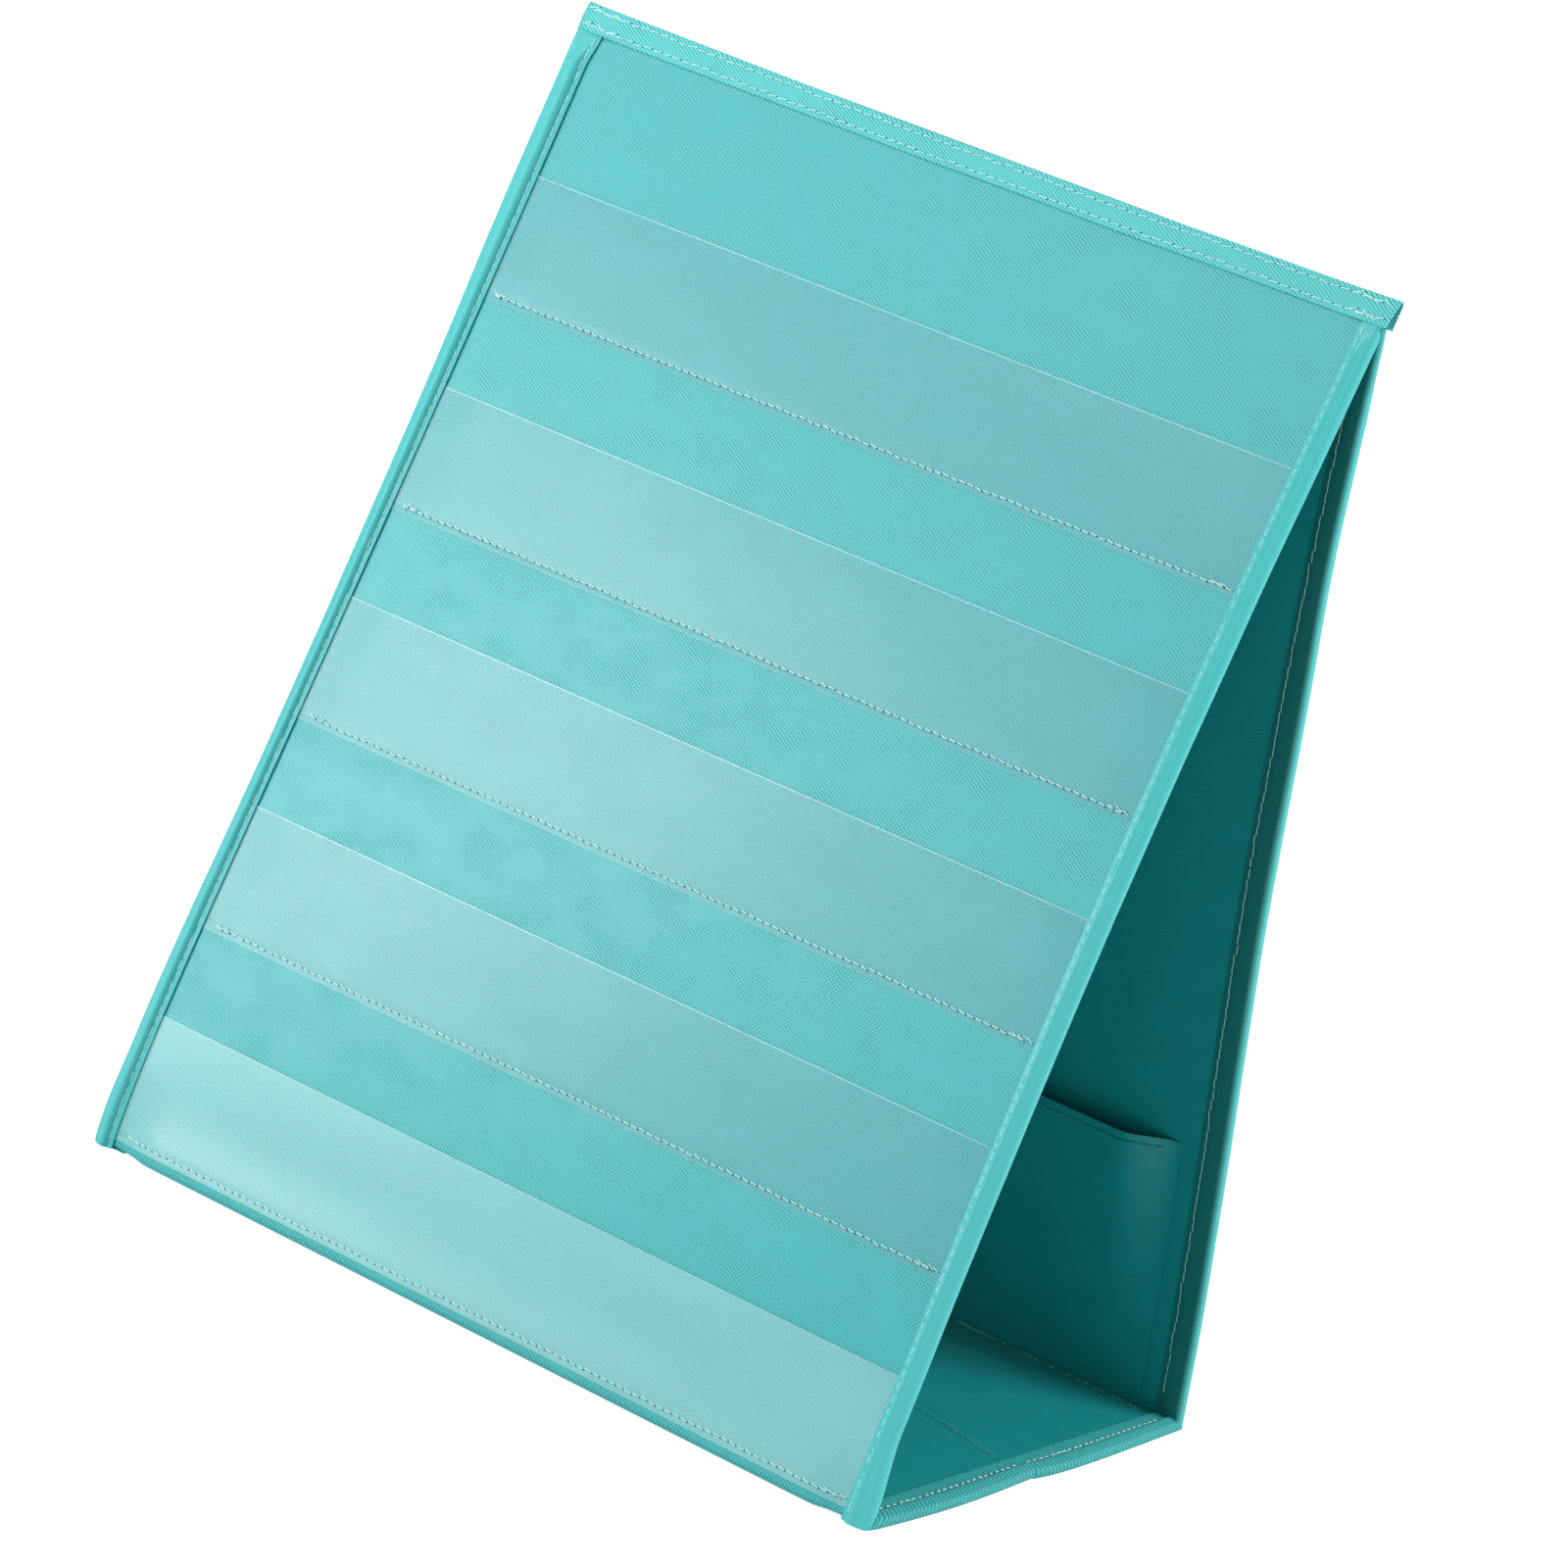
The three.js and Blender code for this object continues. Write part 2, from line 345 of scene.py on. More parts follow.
@dataclass(frozen=True)
class RibbedTape(Finish):
    """Woven tape: grosgrain has ribs across it, and a smooth binding has only fine lines along it.

    Args:
        rib: Spacing of the ribs, in mm.
        relief: Height of the ribs, in mm.
        contrast: How much darker the valleys are.
        along: True for lines that run along the tape.
        painted_shade_tint: Painted shade on the leg that lies inside the tent, as sRGB hex: that leg is
            darkened as if in the tent's shadow. White leaves it as it is.
        painted_shade_span: Places across the cut between which the painted shade comes in, in mm.
    """

    rib: float
    relief: float
    contrast: float
    along: bool = False
    painted_shade_tint: str = WHITE
    painted_shade_span: tuple[float, float] = (12.2, 14.4)

    def dress(self, coat: Coat) -> None:
        """Rib the colour and the relief, and paint shade on the leg that lies inside the tent.

        Args:
            coat: The material in the making.
        """
        pitch = math.tau / (STRAIGHT_BANDS * self.rib)
        place = coat.cut_place(pitch, pitch)
        inputs = {"Vector": place, "Scale": 1.0, "Distortion": 0.6, "Detail": 2.0, "Detail Scale": 0.6}
        direction = "X" if self.along else "Y"
        wave = coat.add("ShaderNodeTexWave", inputs, wave_type="BANDS", bands_direction=direction)
        inputs = {"Vector": coat.cut_place(0.35, 0.12), "Scale": 1.0, "Detail": 4.0, "Roughness": 0.6}
        fuzz = coat.add("ShaderNodeTexNoise", inputs)
        inputs = {MIX_SHARE: 0.25, MIX_VALUE_A: wave.outputs["Fac"], MIX_VALUE_B: fuzz.outputs["Fac"]}
        ribs = coat.add("ShaderNodeMix", inputs, data_type="FLOAT").outputs[MIX_VALUE_OUT]
        # Painted shade: the leg inside the tent is darkened towards the lining's tone, for the tent's shadow.
        across = coat.add("ShaderNodeSeparateXYZ", {"Vector": coat.cut_place(1, 1)}).outputs["X"]
        inputs = {"Value": across, "From Min": self.painted_shade_span[0], "From Max": self.painted_shade_span[1]}
        leg = coat.add("ShaderNodeMapRange", inputs).outputs["Result"]
        shade_tints = {MIX_COLOUR_A: linear_colour(WHITE), MIX_COLOUR_B: linear_colour(self.painted_shade_tint)}
        painted_shade = coat.add("ShaderNodeMix", {MIX_SHARE: leg, **shade_tints}, data_type="RGBA").outputs[MIX_COLOUR_OUT]
        coat.stain(coat.swing(ribs, self.contrast), painted_shade)
        coat.emboss(ribs, self.relief)
        coat.set_levels({"Specular IOR Level": 0.3, "Sheen Weight": 0.03})


@dataclass(frozen=True)
class ClearFilm(Finish):
    """Soft clear vinyl film, calendered: slightly milky, so that it greys the cloth and mirrors light softly.

    Args:
        cover: Opacity of each of its two faces.
    """

    cover: float = 0.2

    def dress(self, coat: Coat) -> None:
        """Let the cloth show through, with faint haze.

        Args:
            coat: The material in the making.
        """
        inputs = {"Vector": coat.cut_place(1 / 60, 1 / 18), "Scale": 1.0, "Detail": 1.0, "Roughness": 0.4}
        haze = coat.add("ShaderNodeTexNoise", inputs).outputs["Fac"]
        coat.stain(coat.swing(haze, 0.05))
        coat.set_levels({"Alpha": self.cover, "IOR": 1.53, "Coat Weight": 1.0, "Coat Roughness": 0.26})


@dataclass(frozen=True)
class TwistedThread(Finish):
    """Filament polyester thread: two plies twisted together, with a silky light.

    Args:
        lay: Half the length of one twist, in mm.
    """

    lay: float = 0.6

    def dress(self, coat: Coat) -> None:
        """Twist the plies in the relief.

        Args:
            coat: The material in the making.
        """
        place = coat.add("ShaderNodeTexCoord").outputs["Object"]
        pitch = math.pi / (DIAGONAL_BANDS * self.lay * MM)
        inputs = {"Vector": place, "Scale": pitch, "Distortion": 0.4}
        wave = coat.add("ShaderNodeTexWave", inputs, wave_type="BANDS", bands_direction="DIAGONAL")
        coat.emboss(wave.outputs["Fac"], 0.03)
        coat.set_levels({"Sheen Weight": 0.2})


@dataclass(frozen=True)
class GreyBoard(Finish):
    """Pressed grey board: pulped paper with flecks, matt."""

    def dress(self, coat: Coat) -> None:
        """Scatter the flecks through the colour.

        Args:
            coat: The material in the making.
        """
        place = coat.add("ShaderNodeTexCoord").outputs["Object"]
        inputs = {"Vector": place, "Scale": 900.0, "Detail": 4.0, "Roughness": 0.7}
        fleck = coat.add("ShaderNodeTexNoise", inputs).outputs["Fac"]
        coat.stain(coat.swing(fleck, 0.12))


class Finishes:
    """All the chart's materials, each made once."""

    def __init__(self) -> None:
        """Build every material."""
        # Oxford cloth woven from dull filament yarn: slanting rows of crowns and a soft pale bloom.
        # Its rows stand 0.65 mm apart. They are drawn at 1.05 mm, so that they show in the picture.
        self.cover = WovenCloth("oxford_cover_cloth", "3BAAAD", 0.36).build()
        # The same cloth with a coating rolled into it: the threads are filled, which leaves a dark even face.
        filled = {"relief": 0.02, "contrast": 0.05, "patch": 0.06, "sheen": 0.03, "gloss": 0.3}
        self.lining = WovenCloth("coated_lining_cloth", "0E8B8D", 0.45, **filled).build()
        # Satin-faced tape pressed smooth: no grain and a long soft light on its roll. The leg that lies
        # inside the tent is darkened with painted shade.
        pressed = {"rib": 0.5, "relief": 0.015, "contrast": 0.05, "along": True, "painted_shade_tint": "5C9A96"}
        self.side_tape = RibbedTape("smooth_satin_binding", "4AB8B9", 0.3, **pressed).build()
        # Twill strip, coarser and drier than the cover: its diagonals show and it hardly shines.
        # They stand 0.6 mm apart and are drawn at 1.0 mm, so that they show in the picture.
        coarse = {"thread": 1.0, "relief": 0.1, "contrast": 0.4, "slant": 0.8, "sheen": 0.06, "gloss": 0.3}
        self.strip_tape = WovenCloth("twill_woven_strip", "5AC0C0", 0.65, **coarse).build()
        # Grosgrain woven with a heavy cross thread: matt ribs across it, each with its own small shadow.
        # The ribs stand 1.6 mm apart and are drawn at 2.4 mm, so that they show in the picture.
        heavy = {"rib": 2.4, "relief": 0.35, "contrast": 0.3}
        self.base_tape = RibbedTape("grosgrain_base_tape", "309E9D", 0.6, **heavy).build()
        # Calendered soft vinyl: the cloth shows through greyed, under a broad soft light on the film's face.
        self.film = ClearFilm("clear_vinyl_film", "76CBD1", 0.3).build()
        # The lowest pocket's vinyl is painted paler and milkier all across: painted sheen, for the soft
        # reflection that lies over it. It hides more of the cloth.
        self.painted_sheen_film = ClearFilm("clear_vinyl_film_painted_sheen", "AAEEF0", 0.42, cover=0.27).build()
        # Painted highlight: a thin pale band of film along each mouth, as if light caught its cut edge.
        self.film_mouth_highlight = ClearFilm("clear_vinyl_painted_mouth_highlight", "B2E4E5", 0.35, cover=0.34).build()
        # Two plies of bright filament, twisted: a silky pale stitch with a fine slanting line.
        self.thread = TwistedThread("pale_polyester_thread", "C2EAE7", 0.45).build()
        # The same thread dyed to the cloth: the stitches show only as small lights and shadows.
        self.dark_thread = TwistedThread("dark_teal_polyester_thread", "1C7274", 0.5).build()
        self.dim_thread = TwistedThread("teal_polyester_thread", "8CCFCD", 0.5).build()
        # Painted shadow: a flat dark disc beside each stitch, where the needle hole and the stitch shade the
        # cloth.
        self.painted_needle_shadow = Finish("needle_hole_shadow", "0B4244", 0.9).build()
        # Board pressed from pulped paper: matt grey with darker flecks.
        self.board = GreyBoard("pressed_grey_board", "B5AD9C", 0.9).build()


class Side(Enum):
    """The two panels of the tent."""

    FRONT = "front"
    BACK = "back"

    @property
    def panel(self) -> str:
        """The panel's body."""
        return f"{self.value}_panel"

    @property
    def base(self) -> str:
        """The body of the base half that the panel stands on."""
        return "base_front" if self is Side.FRONT else "base_rear"

    @property
    def facing(self) -> int:
        """1 where the viewer's x is the bench's own, and -1 on the panel that faces away."""
        return 1 if self is Side.FRONT else -1


class Hand(Enum):
    """Left and right, as the viewer of the front sees them."""

    LEFT = "left"
    RIGHT = "right"

    @property
    def sign(self) -> int:
        """Direction along the viewer's x."""
        return -1 if self is Hand.LEFT else 1


# Sizes of the chart, in mm: half the panels' width, half the base's depth, and a panel's length up its slope.
HALF_WIDTH = 160.0
HALF_DEPTH = 107.0
SLANT = 420.0
# A panel's lean from upright, and how far a mm up the slope goes inwards and upwards.
LEAN = math.asin(HALF_DEPTH / SLANT)
RUN = math.sin(LEAN)
RISE = math.cos(LEAN)
# Thicknesses of a panel and of the base over their tapes.
PANEL_THICKNESS = 4.7
BASE_THICKNESS = 4.2
# The line that a panel turns about: its distance from the panel's outer face and from the table, and where it
# lies up the panel and along the base, from the panel's foot.
PIVOT_IN = 5.1
PIVOT_UP = 4.6
PIVOT_ALONG = (PIVOT_UP + PIVOT_IN * RUN) / RISE
BASE_PIVOT_ALONG = PIVOT_ALONG * RUN + PIVOT_IN * RISE
# Thicknesses of the sheets.
TAPE = 0.5
CLOTH = 0.4
FILM = 0.3
BOARD = 1.6
# Free space at a tape's foot, and the pitch of the stitches that hold it.
FOOT_GAP = 0.06
TAPE_PITCH = 4.1
# Where the covers' lower folds start and end: distance from the chart's middle, and height, in metres.
LOWER_FOLD = ((0.10401, 0.00045), (0.10507, 0.00183))


class Bench:
    """The frame that a sheet is laid in, in millimetres. The base lies in it as it is."""

    def stand(self) -> Matrix:
        """Matrix that puts the bench's places in the frame, in metres."""
        return Matrix.Scale(MM, 4)


@dataclass(frozen=True)
class PanelBench(Bench):
    """One panel's own frame: x across, s up the slope from the foot, h out of the outer face.

    The panels aren't quite flat. The ridge seam holds the rear panel in line with the front one, so it curves
    inwards below the ridge and pushes the front panel out.

    Args:
        side: Which panel it is.
        right_bow: How far the front panel stands out at its right edge, in mm.
        left_bow: The same at its left edge, where the bow lies low.
        left_bow_at: Height of the left edge's bow.
        rear_bow: How far the rear panel sinks in.
        front_hold: Height at which the ridge seam holds the front panel flat.
        rear_hold: The same for the rear panel.
        front_draw: How far the sewing draws the front panel's right edge in.
        rear_draw: The same for the rear panel, near its top alone.
        foot_roll: How far the front panel's foot rolls forwards between its tapes.
        press: Share of its thickness that the rear panel loses under the ridge.
    """

    side: Side
    right_bow: float = 9.3
    left_bow: float = 3.6
    left_bow_at: float = 55.0
    rear_bow: float = 9.5
    front_hold: float = 412.0
    rear_hold: float = 404.0
    front_draw: float = 2.7
    rear_draw: float = 1.8
    foot_roll: float = 2.6
    press: float = 0.42

    def stand(self) -> Matrix:
        """Stand the panel up in the frame.

        Returns:
            The matrix from the bench to the frame, in metres.
        """
        slope = Matrix(((1, 0, 0, 0), (0, RUN, -RISE, -HALF_DEPTH), (0, RISE, RUN, 0), (0, 0, 0, 1)))
        turn = Matrix.Rotation(math.pi if self.side is Side.BACK else 0, 4, "Z")
        return Matrix.Scale(MM, 4) @ turn @ slope

    def drawn(self, x: float, s: float) -> float:
        """Place across, once the sewing has drawn the right edge in.

        Args:
            x: Place across.
            s: Place up the slope.

        Returns:
            The new place across.
        """
        front = self.side is Side.FRONT
        draw = self.front_draw * ease(s, 0, 30) if front else self.rear_draw * ease(s, 250, 350)
        facing = self.side.facing
        return x - facing * draw * ease(facing * x, 100, HALF_WIDTH)

    def forward(self, x: float) -> float:
        """How far the front panel's foot rolls forwards between its tapes."""
        return self.foot_roll * ease(abs(x), 150, 136) if self.side is Side.FRONT else 0.0

    def settle(self, x: float, s: float, h: float) -> float:
        """Height of a layer once the panel has curved.

        Args:
            x: Place across.
            s: Place up the slope.
            h: The layer's height above the flat outer face, below 0.

        Returns:
            Its height with the panel's curve, and with the cloth pressed thin below the ridge.
        """
        s = max(s, 0.0)
        if self.side is Side.FRONT:
            # The power puts the fullest place a little above the middle.
            right = self.right_bow * math.sin(math.pi * min(s / self.front_hold, 1) ** 1.07)
            low = s / self.left_bow_at
            left = self.left_bow * low * math.exp(1 - low)
            roll = self.forward(x) * RISE * bell(s, 14)
            return h + roll + mix(left, right, (x + HALF_WIDTH) / (2 * HALF_WIDTH))
        # It sinks in up to 240 mm, and comes back out only near the ridge.
        sink = math.sin(math.pi / 2 * min(s / 240, 1)) ** 2.6 * (1 - min(s / self.rear_hold, 1) ** 6)
        thin = 1 - self.press * ease(s, self.rear_hold - 26, self.rear_hold)
        return -PANEL_THICKNESS + (h + PANEL_THICKNESS) * thin - self.rear_bow * sink


@dataclass
class Sheet:
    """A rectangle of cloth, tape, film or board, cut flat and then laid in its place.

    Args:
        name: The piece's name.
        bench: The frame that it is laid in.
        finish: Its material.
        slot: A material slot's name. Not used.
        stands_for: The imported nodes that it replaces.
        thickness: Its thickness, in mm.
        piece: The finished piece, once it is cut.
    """

    name: str
    bench: Any
    finish: bpy.types.Material
    slot: str
    stands_for: tuple[str, ...]
    thickness: float = CLOTH
    piece: Any = None

    def grid(self) -> tuple[list[float], list[float]]:
        """Places of the grid lines across and along the cut."""
        raise NotImplementedError

    def at(self, u: float, v: float) -> Vector:
        """Where a place on the flat cut lies on the bench, in the middle of the thickness."""
        raise NotImplementedError

    def facing(self) -> int:
        """1 where the cut's own normal points away from what it covers, and -1 where it points into it."""
        return 1

    def cut(self) -> bpy.types.Object:
        """Cut the rectangle, lay it, give it its thickness and stand it up.

        Returns:
            The finished piece.
        """
        deselect_all()
        across, along = self.grid()
        columns, rows = len(across) - 1, len(along) - 1
        bpy.ops.mesh.primitive_grid_add(x_subdivisions=columns, y_subdivisions=rows, size=1)
        piece = bpy.context.active_object
        piece.name = piece.data.name = self.name
        flat = []
        for vertex in piece.data.vertices:
            u = across[round((vertex.co.x + 0.5) * columns)]
            v = along[round((vertex.co.y + 0.5) * rows)]
            flat.append((u, v))
            vertex.co = self.at(u, v)
        cut_map = piece.data.uv_layers[0]
        cut_map.name = CUT_MAP
        for loop in piece.data.loops:
            cut_map.data[loop.index].uv = flat[loop.vertex_index]
        piece.data.materials.append(self.finish)
        wall = piece.modifiers.new("Thickness", "SOLIDIFY")
        wall.thickness, wall.offset = self.thickness, 0.0
        bpy.ops.object.modifier_apply(modifier=wall.name)
        piece.data.transform(self.bench.stand())
        bpy.ops.object.shade_smooth_by_angle(angle=math.radians(50))
        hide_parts(*self.stands_for)
        self.piece = piece
        LOG.info("%s: %d faces", self.name, len(piece.data.polygons))
        return piece

    def declare(self, held: str, *rests_on: str) -> None:
        """Work out the cut's grid lines. Nothing is said or stored.

        Args:
            held: How it is held. Not used.
            *rests_on: What it lies on or hangs from. Not used.
        """
        across, along = self.grid()

    def outward(self, u: float, v: float) -> Vector:
        """Direction away from what the sheet covers, at a place on the cut.

        Args:
            u: Place across the cut.
            v: Place along the cut.

        Returns:
            The direction, as a vector of length 1.
        """
        step = 0.2
        across = self.at(u + step, v) - self.at(u - step, v)
        along = self.at(u, v + step) - self.at(u, v - step)
        return across.cross(along).normalized() * self.facing()


@dataclass
class CoverCloth(Sheet):
    """The outer cloth of a panel, which runs on round the lower fold and under the base to its middle.

    Args:
        top: Place of its upper edge, up the panel.
        half: Half its width.
        radius: Radius of the lower fold.
        panel_depth: How deep the cloth lies under the panel's outer face.
        fold_rise: Height of the cloth over the table at the fold.
        middle_gap: Free space before the middle of the base.
        middle_tuck: How far its end is tucked up there.
        tape_room: How far it rises to let the base's tapes pass under it.
        ripple: Its unevenness.
    """

    top: float = 418.9
    half: float = 158.9
    radius: float = 1.1
    panel_depth: float = 1.4
    fold_rise: float = 0.45
    middle_gap: float = 0.2
    middle_tuck: float = 0.9
    tape_room: float = 0.45
    ripple: Ripple = field(default_factory=lambda: Ripple(0.05, 55, 3))

    @property
    def turn(self) -> float:
        """Angle of the lower fold."""
        return math.pi / 2 + LEAN

    @property
    def fold_run(self) -> float:
        """Length of the cloth round the lower fold."""
        return self.radius * self.turn

    @property
    def fold_in(self) -> float:
        """Height of the fold's centre over the panel's outer face, below 0."""
        return -(self.panel_depth + self.radius)

    @property
    def fold_along(self) -> float:
        """Place of the fold's centre up the panel."""
        return (self.fold_rise + self.radius - self.fold_in * RUN) / RISE

    @property
    def base_run(self) -> float:
        """Length of the part under the base."""
        return HALF_DEPTH - self.middle_gap - self.fold_along * RUN + self.fold_in * RISE

    def grid(self) -> tuple[list[float], list[float]]:
        """Fine lines at the side edges, round the fold and up the panel.

        Returns:
            Places of the grid lines across and along the cut.
        """
        fold_end = self.base_run + self.fold_run
        length = fold_end + self.top - self.fold_along
        along = stops(0, (4, 4), (self.base_run, 20), (fold_end, 8), (length, 84))
        return stops(-self.half, (self.half, 64)), along

    def at(self, u: float, v: float) -> Vector:
        """Where a place on the flat cut lies: under the base, round the fold or up the panel.

        Args:
            u: Place across the cut.
            v: Place along the cut.

        Returns:
            The place on the bench, in the middle of the thickness.
        """
        s_fold, h_fold = self.fold_along, self.fold_in
        over_tape = ease(abs(u), 139, 144)
        if v < self.base_run:
            inwards = self.base_run - v
            up = self.middle_tuck * ease(v, 3, 0) + self.tape_room * max(ease(inwards, 3, 17), over_tape)
            roll = self.bench.forward(u) * ease(inwards, 14, 0)
            s = s_fold - self.radius * RISE + inwards * RUN + up * RISE - roll * RUN
            return Vector((u, s, h_fold - self.radius * RUN - inwards * RISE + up * RUN + roll * RISE))
        fold_end = self.base_run + self.fold_run
        if v < fold_end:
            angle = (fold_end - v) / self.radius
            turned = angle / self.turn
            lift = self.bench.settle(u, s_fold, -self.panel_depth) + self.panel_depth
            up = self.tape_room * over_tape * turned
            roll = self.bench.forward(u) * turned
            s = s_fold - self.radius * math.sin(angle) + up * RISE - roll * RUN
            h = h_fold + self.radius * math.cos(angle) + up * RUN + roll * RISE
            return Vector((u, s, h + lift * (1 - turned)))
        s = s_fold + v - fold_end
        calm = ease(s, 0, 30) * ease(s, self.top, self.top - 20)
        h = self.bench.settle(u, s, -self.panel_depth) + calm * self.ripple.at(u, s)
        return Vector((self.bench.drawn(u, s), s, h))


@dataclass
class PanelSheet(Sheet):
    """A sheet at one depth in a panel: the lining or the board.

    Args:
        depth: Its depth under the panel's outer face.
        half: Half its width.
        foot: Place of its lower edge.
        top: Place of its upper edge.
        ripple: Its unevenness, if it has any.
    """

    depth: float = 3.8
    half: float = 158.9
    foot: float = 4.8
    top: float = 404.0
    ripple: Ripple | None = None

    def grid(self) -> tuple[list[float], list[float]]:
        """Even lines."""
        return stops(-self.half, (self.half, 40)), stops(self.foot, (self.top, 60))

    def facing(self) -> int:
        """The lining faces inwards."""
        return -1

    def at(self, u: float, v: float) -> Vector:
        """Where a place on the flat cut lies.

        Args:
            u: Place across the cut.
            v: Place along the cut.

        Returns:
            The place on the bench, in the middle of the thickness.
        """
        h = self.bench.settle(u, v, -self.depth)
        if self.ripple:
            calm = ease(abs(u), 144, 124) * ease(v, 8, 38) * ease(v, 395, 370)
            h -= calm * abs(self.ripple.at(u, v))
        return Vector((self.bench.drawn(u, v), v, h))


@dataclass(frozen=True)
class EdgeFold:
    """Section of a tape folded round an edge: one face, a narrow side with two round corners, the other face.

    Args:
        gap: Distance between the middles of the two faces, in mm.
        corner: Radius of the two corners.
        seam: Distance of the seam from the first lip.
        dip: How far the seam pulls the tape in.
        belly: How far the face swells between the seam and the edge.
        lip: How far the lip stands off.
        pucker: Height of the small waves that the stitches pull up.
    """

    gap: float
    corner: float
    seam: float
    dip: float
    belly: float
    lip: float
    pucker: float

    @property
    def heel(self) -> float:
        """Distance of the corner's centre from the outermost edge."""
        return TAPE / 2 + self.corner

    @property
    def side(self) -> float:
        """Length of the flat part of the narrow side."""
        return self.gap - 2 * self.corner

    def swell(self, reach: float, seam: float, leg: float) -> float:
        """How far a face stands out.

        Args:
            reach: Distance from the lip.
            seam: Distance of the seam from the lip.
            leg: Length of the face's flat part.

        Returns:
            The height above the flat face.
        """
        if reach < seam:
            return mix(self.lip, -self.dip, smooth(reach / seam))
        # The powers bring the fullest place nearer to the seam, and round it.
        share = min((reach - seam) / (leg - seam), 1.0)
        return self.belly * math.sin(math.pi * share**0.62) ** 0.9 - self.dip * (1 - smooth(share * 4))

    def puckered(self, u: float, v: float) -> float:
        """Height of the small waves by the seam, at a place on the cut."""
        return self.pucker * bell(u - self.seam, 1.5) * math.cos(math.tau * v / TAPE_PITCH)

    def far_seam(self, face: float) -> float:
        """Place across the cut where the seam comes out on the second face."""
        return face + math.pi * self.corner + self.side + face - self.seam - 2 * self.heel

    def at(self, u: float, face: float, width: float) -> tuple[float, float]:
        """Place of the tape's middle.

        Args:
            u: Distance from the first lip, along the tape's section.
            face: Distance from the first lip to the edge.
            width: The whole width of the tape.

        Returns:
            Distance past the edge, below 0, and height above the first face's middle.
        """
        leg, quarter = face - self.heel, math.pi / 2 * self.corner
        if u <= leg:
            return u - face, self.swell(u, self.seam, leg)
        u -= leg
        if u <= quarter:
            angle = u / self.corner
            return self.corner * math.sin(angle) - self.heel, self.corner * (math.cos(angle) - 1)
        u -= quarter
        if u <= self.side:
            return -TAPE / 2 + 0.2 * math.sin(math.pi * u / self.side), -self.corner - u
        u -= self.side
        if u <= quarter:
            angle = u / self.corner
            return self.corner * math.cos(angle) - self.heel, self.corner * (1 - math.sin(angle)) - self.gap
        u -= quarter
        second = width - leg - 2 * quarter - self.side
        seam = max(second - leg + self.seam, 0.5)
        return -self.heel - u, -self.gap - 0.18 * self.swell(second - u, seam, second)


@dataclass
class SideTape(Sheet):
    """The smooth tape folded over one side edge of a panel, sewn a little unevenly.

    Args:
        thickness: Its thickness.
        hand: Which edge.
        width: Width of the cut.
        fold: Its section.
        top: Length of the cut, and the place of its upper end.
        tuck: 1 where its upper end is pressed flat under the ridge strip, or else 0.
        right_face: Width of the outer face at the right edge.
        left_face: Its width at the left edge's foot.
        widening: How much wider it gets there in each of two places further up.
        rounding: How far the left edge's lower corner is rounded off.
        wander: How its edge strays.
    """

    thickness: float = TAPE
    hand: Hand = Hand.RIGHT
    width: float = 24.0
    fold: EdgeFold = EdgeFold(gap=4.2, corner=1.85, seam=1.8, dip=0.14, belly=1.7, lip=-0.3, pucker=0.07)
    top: float = 413.0
    tuck: float = 1.0
    right_face: float = 10.0
    left_face: float = 7.1
    widening: float = 1.4
    rounding: float = 1.6
    wander: Ripple = field(default_factory=lambda: Ripple(0.3, 50, 11))

    def facing(self) -> int:
        """The cut is laid from its first lip outwards, so one hand lies face down."""
        return self.hand.sign * self.bench.side.facing

    def grid(self) -> tuple[list[float], list[float]]:
        """Fine lines at the lips, the seams and the corners."""
        across = stops(0, (self.fold.seam * 2, 8), (7.0, 4), (18.5, 30), (self.width, 10))
        return across, stops(0, (self.top, 300))

    def face(self, s: float) -> float:
        """Width of the outer face at a height.

        Args:
            s: Place up the slope.

        Returns:
            The width, in mm.
        """
        if self.hand is Hand.RIGHT:
            return self.right_face
        return self.left_face + self.widening * (ease(s, 100, 370) + ease(s, 398, 410))

    def pull(self, s: float) -> float:
        """How far past the panel's side the edge stands at a height, below 0 where it was sewn tight.

        Args:
            s: Place up the slope.

        Returns:
            The distance, in mm.
        """
        if self.hand is Hand.RIGHT:
            return abs(self.bench.drawn(self.facing() * HALF_WIDTH, s)) - HALF_WIDTH
        return 1.5 * bell(s - 8, 20) + 0.9 * bell(s - 68, 45) + ease(s, 280, 340)

    def at(self, u: float, v: float) -> Vector:
        """Where a place on the flat cut lies.

        Args:
            u: Place across the cut.
            v: Place along the cut.

        Returns:
            The place on the bench, in the middle of the thickness.
        """
        reach, h = self.fold.at(u, self.face(v), self.width)
        h += self.fold.puckered(u, v)
        place = HALF_WIDTH + reach + (self.pull(v) + 0.4 * self.wander.at(0, v)) * ease(reach, -9, 0)
        x = self.facing() * place
        foot = FOOT_GAP + max(-h, 0) * PIVOT_ALONG / PIVOT_IN
        if self.hand is Hand.LEFT:
            foot += self.rounding * (1 - math.sqrt(1 - min(max(1 + reach / 2.2, 0), 1) ** 2))
        s = mix(foot, self.top, v / self.top)
        h = mix(h, min(h, 0.0), self.tuck * ease(s, 398, 407)) - 0.3 * self.tuck * ease(s, 404, 410)
        return Vector((x, s, self.bench.settle(x, s, h - TAPE / 2)))


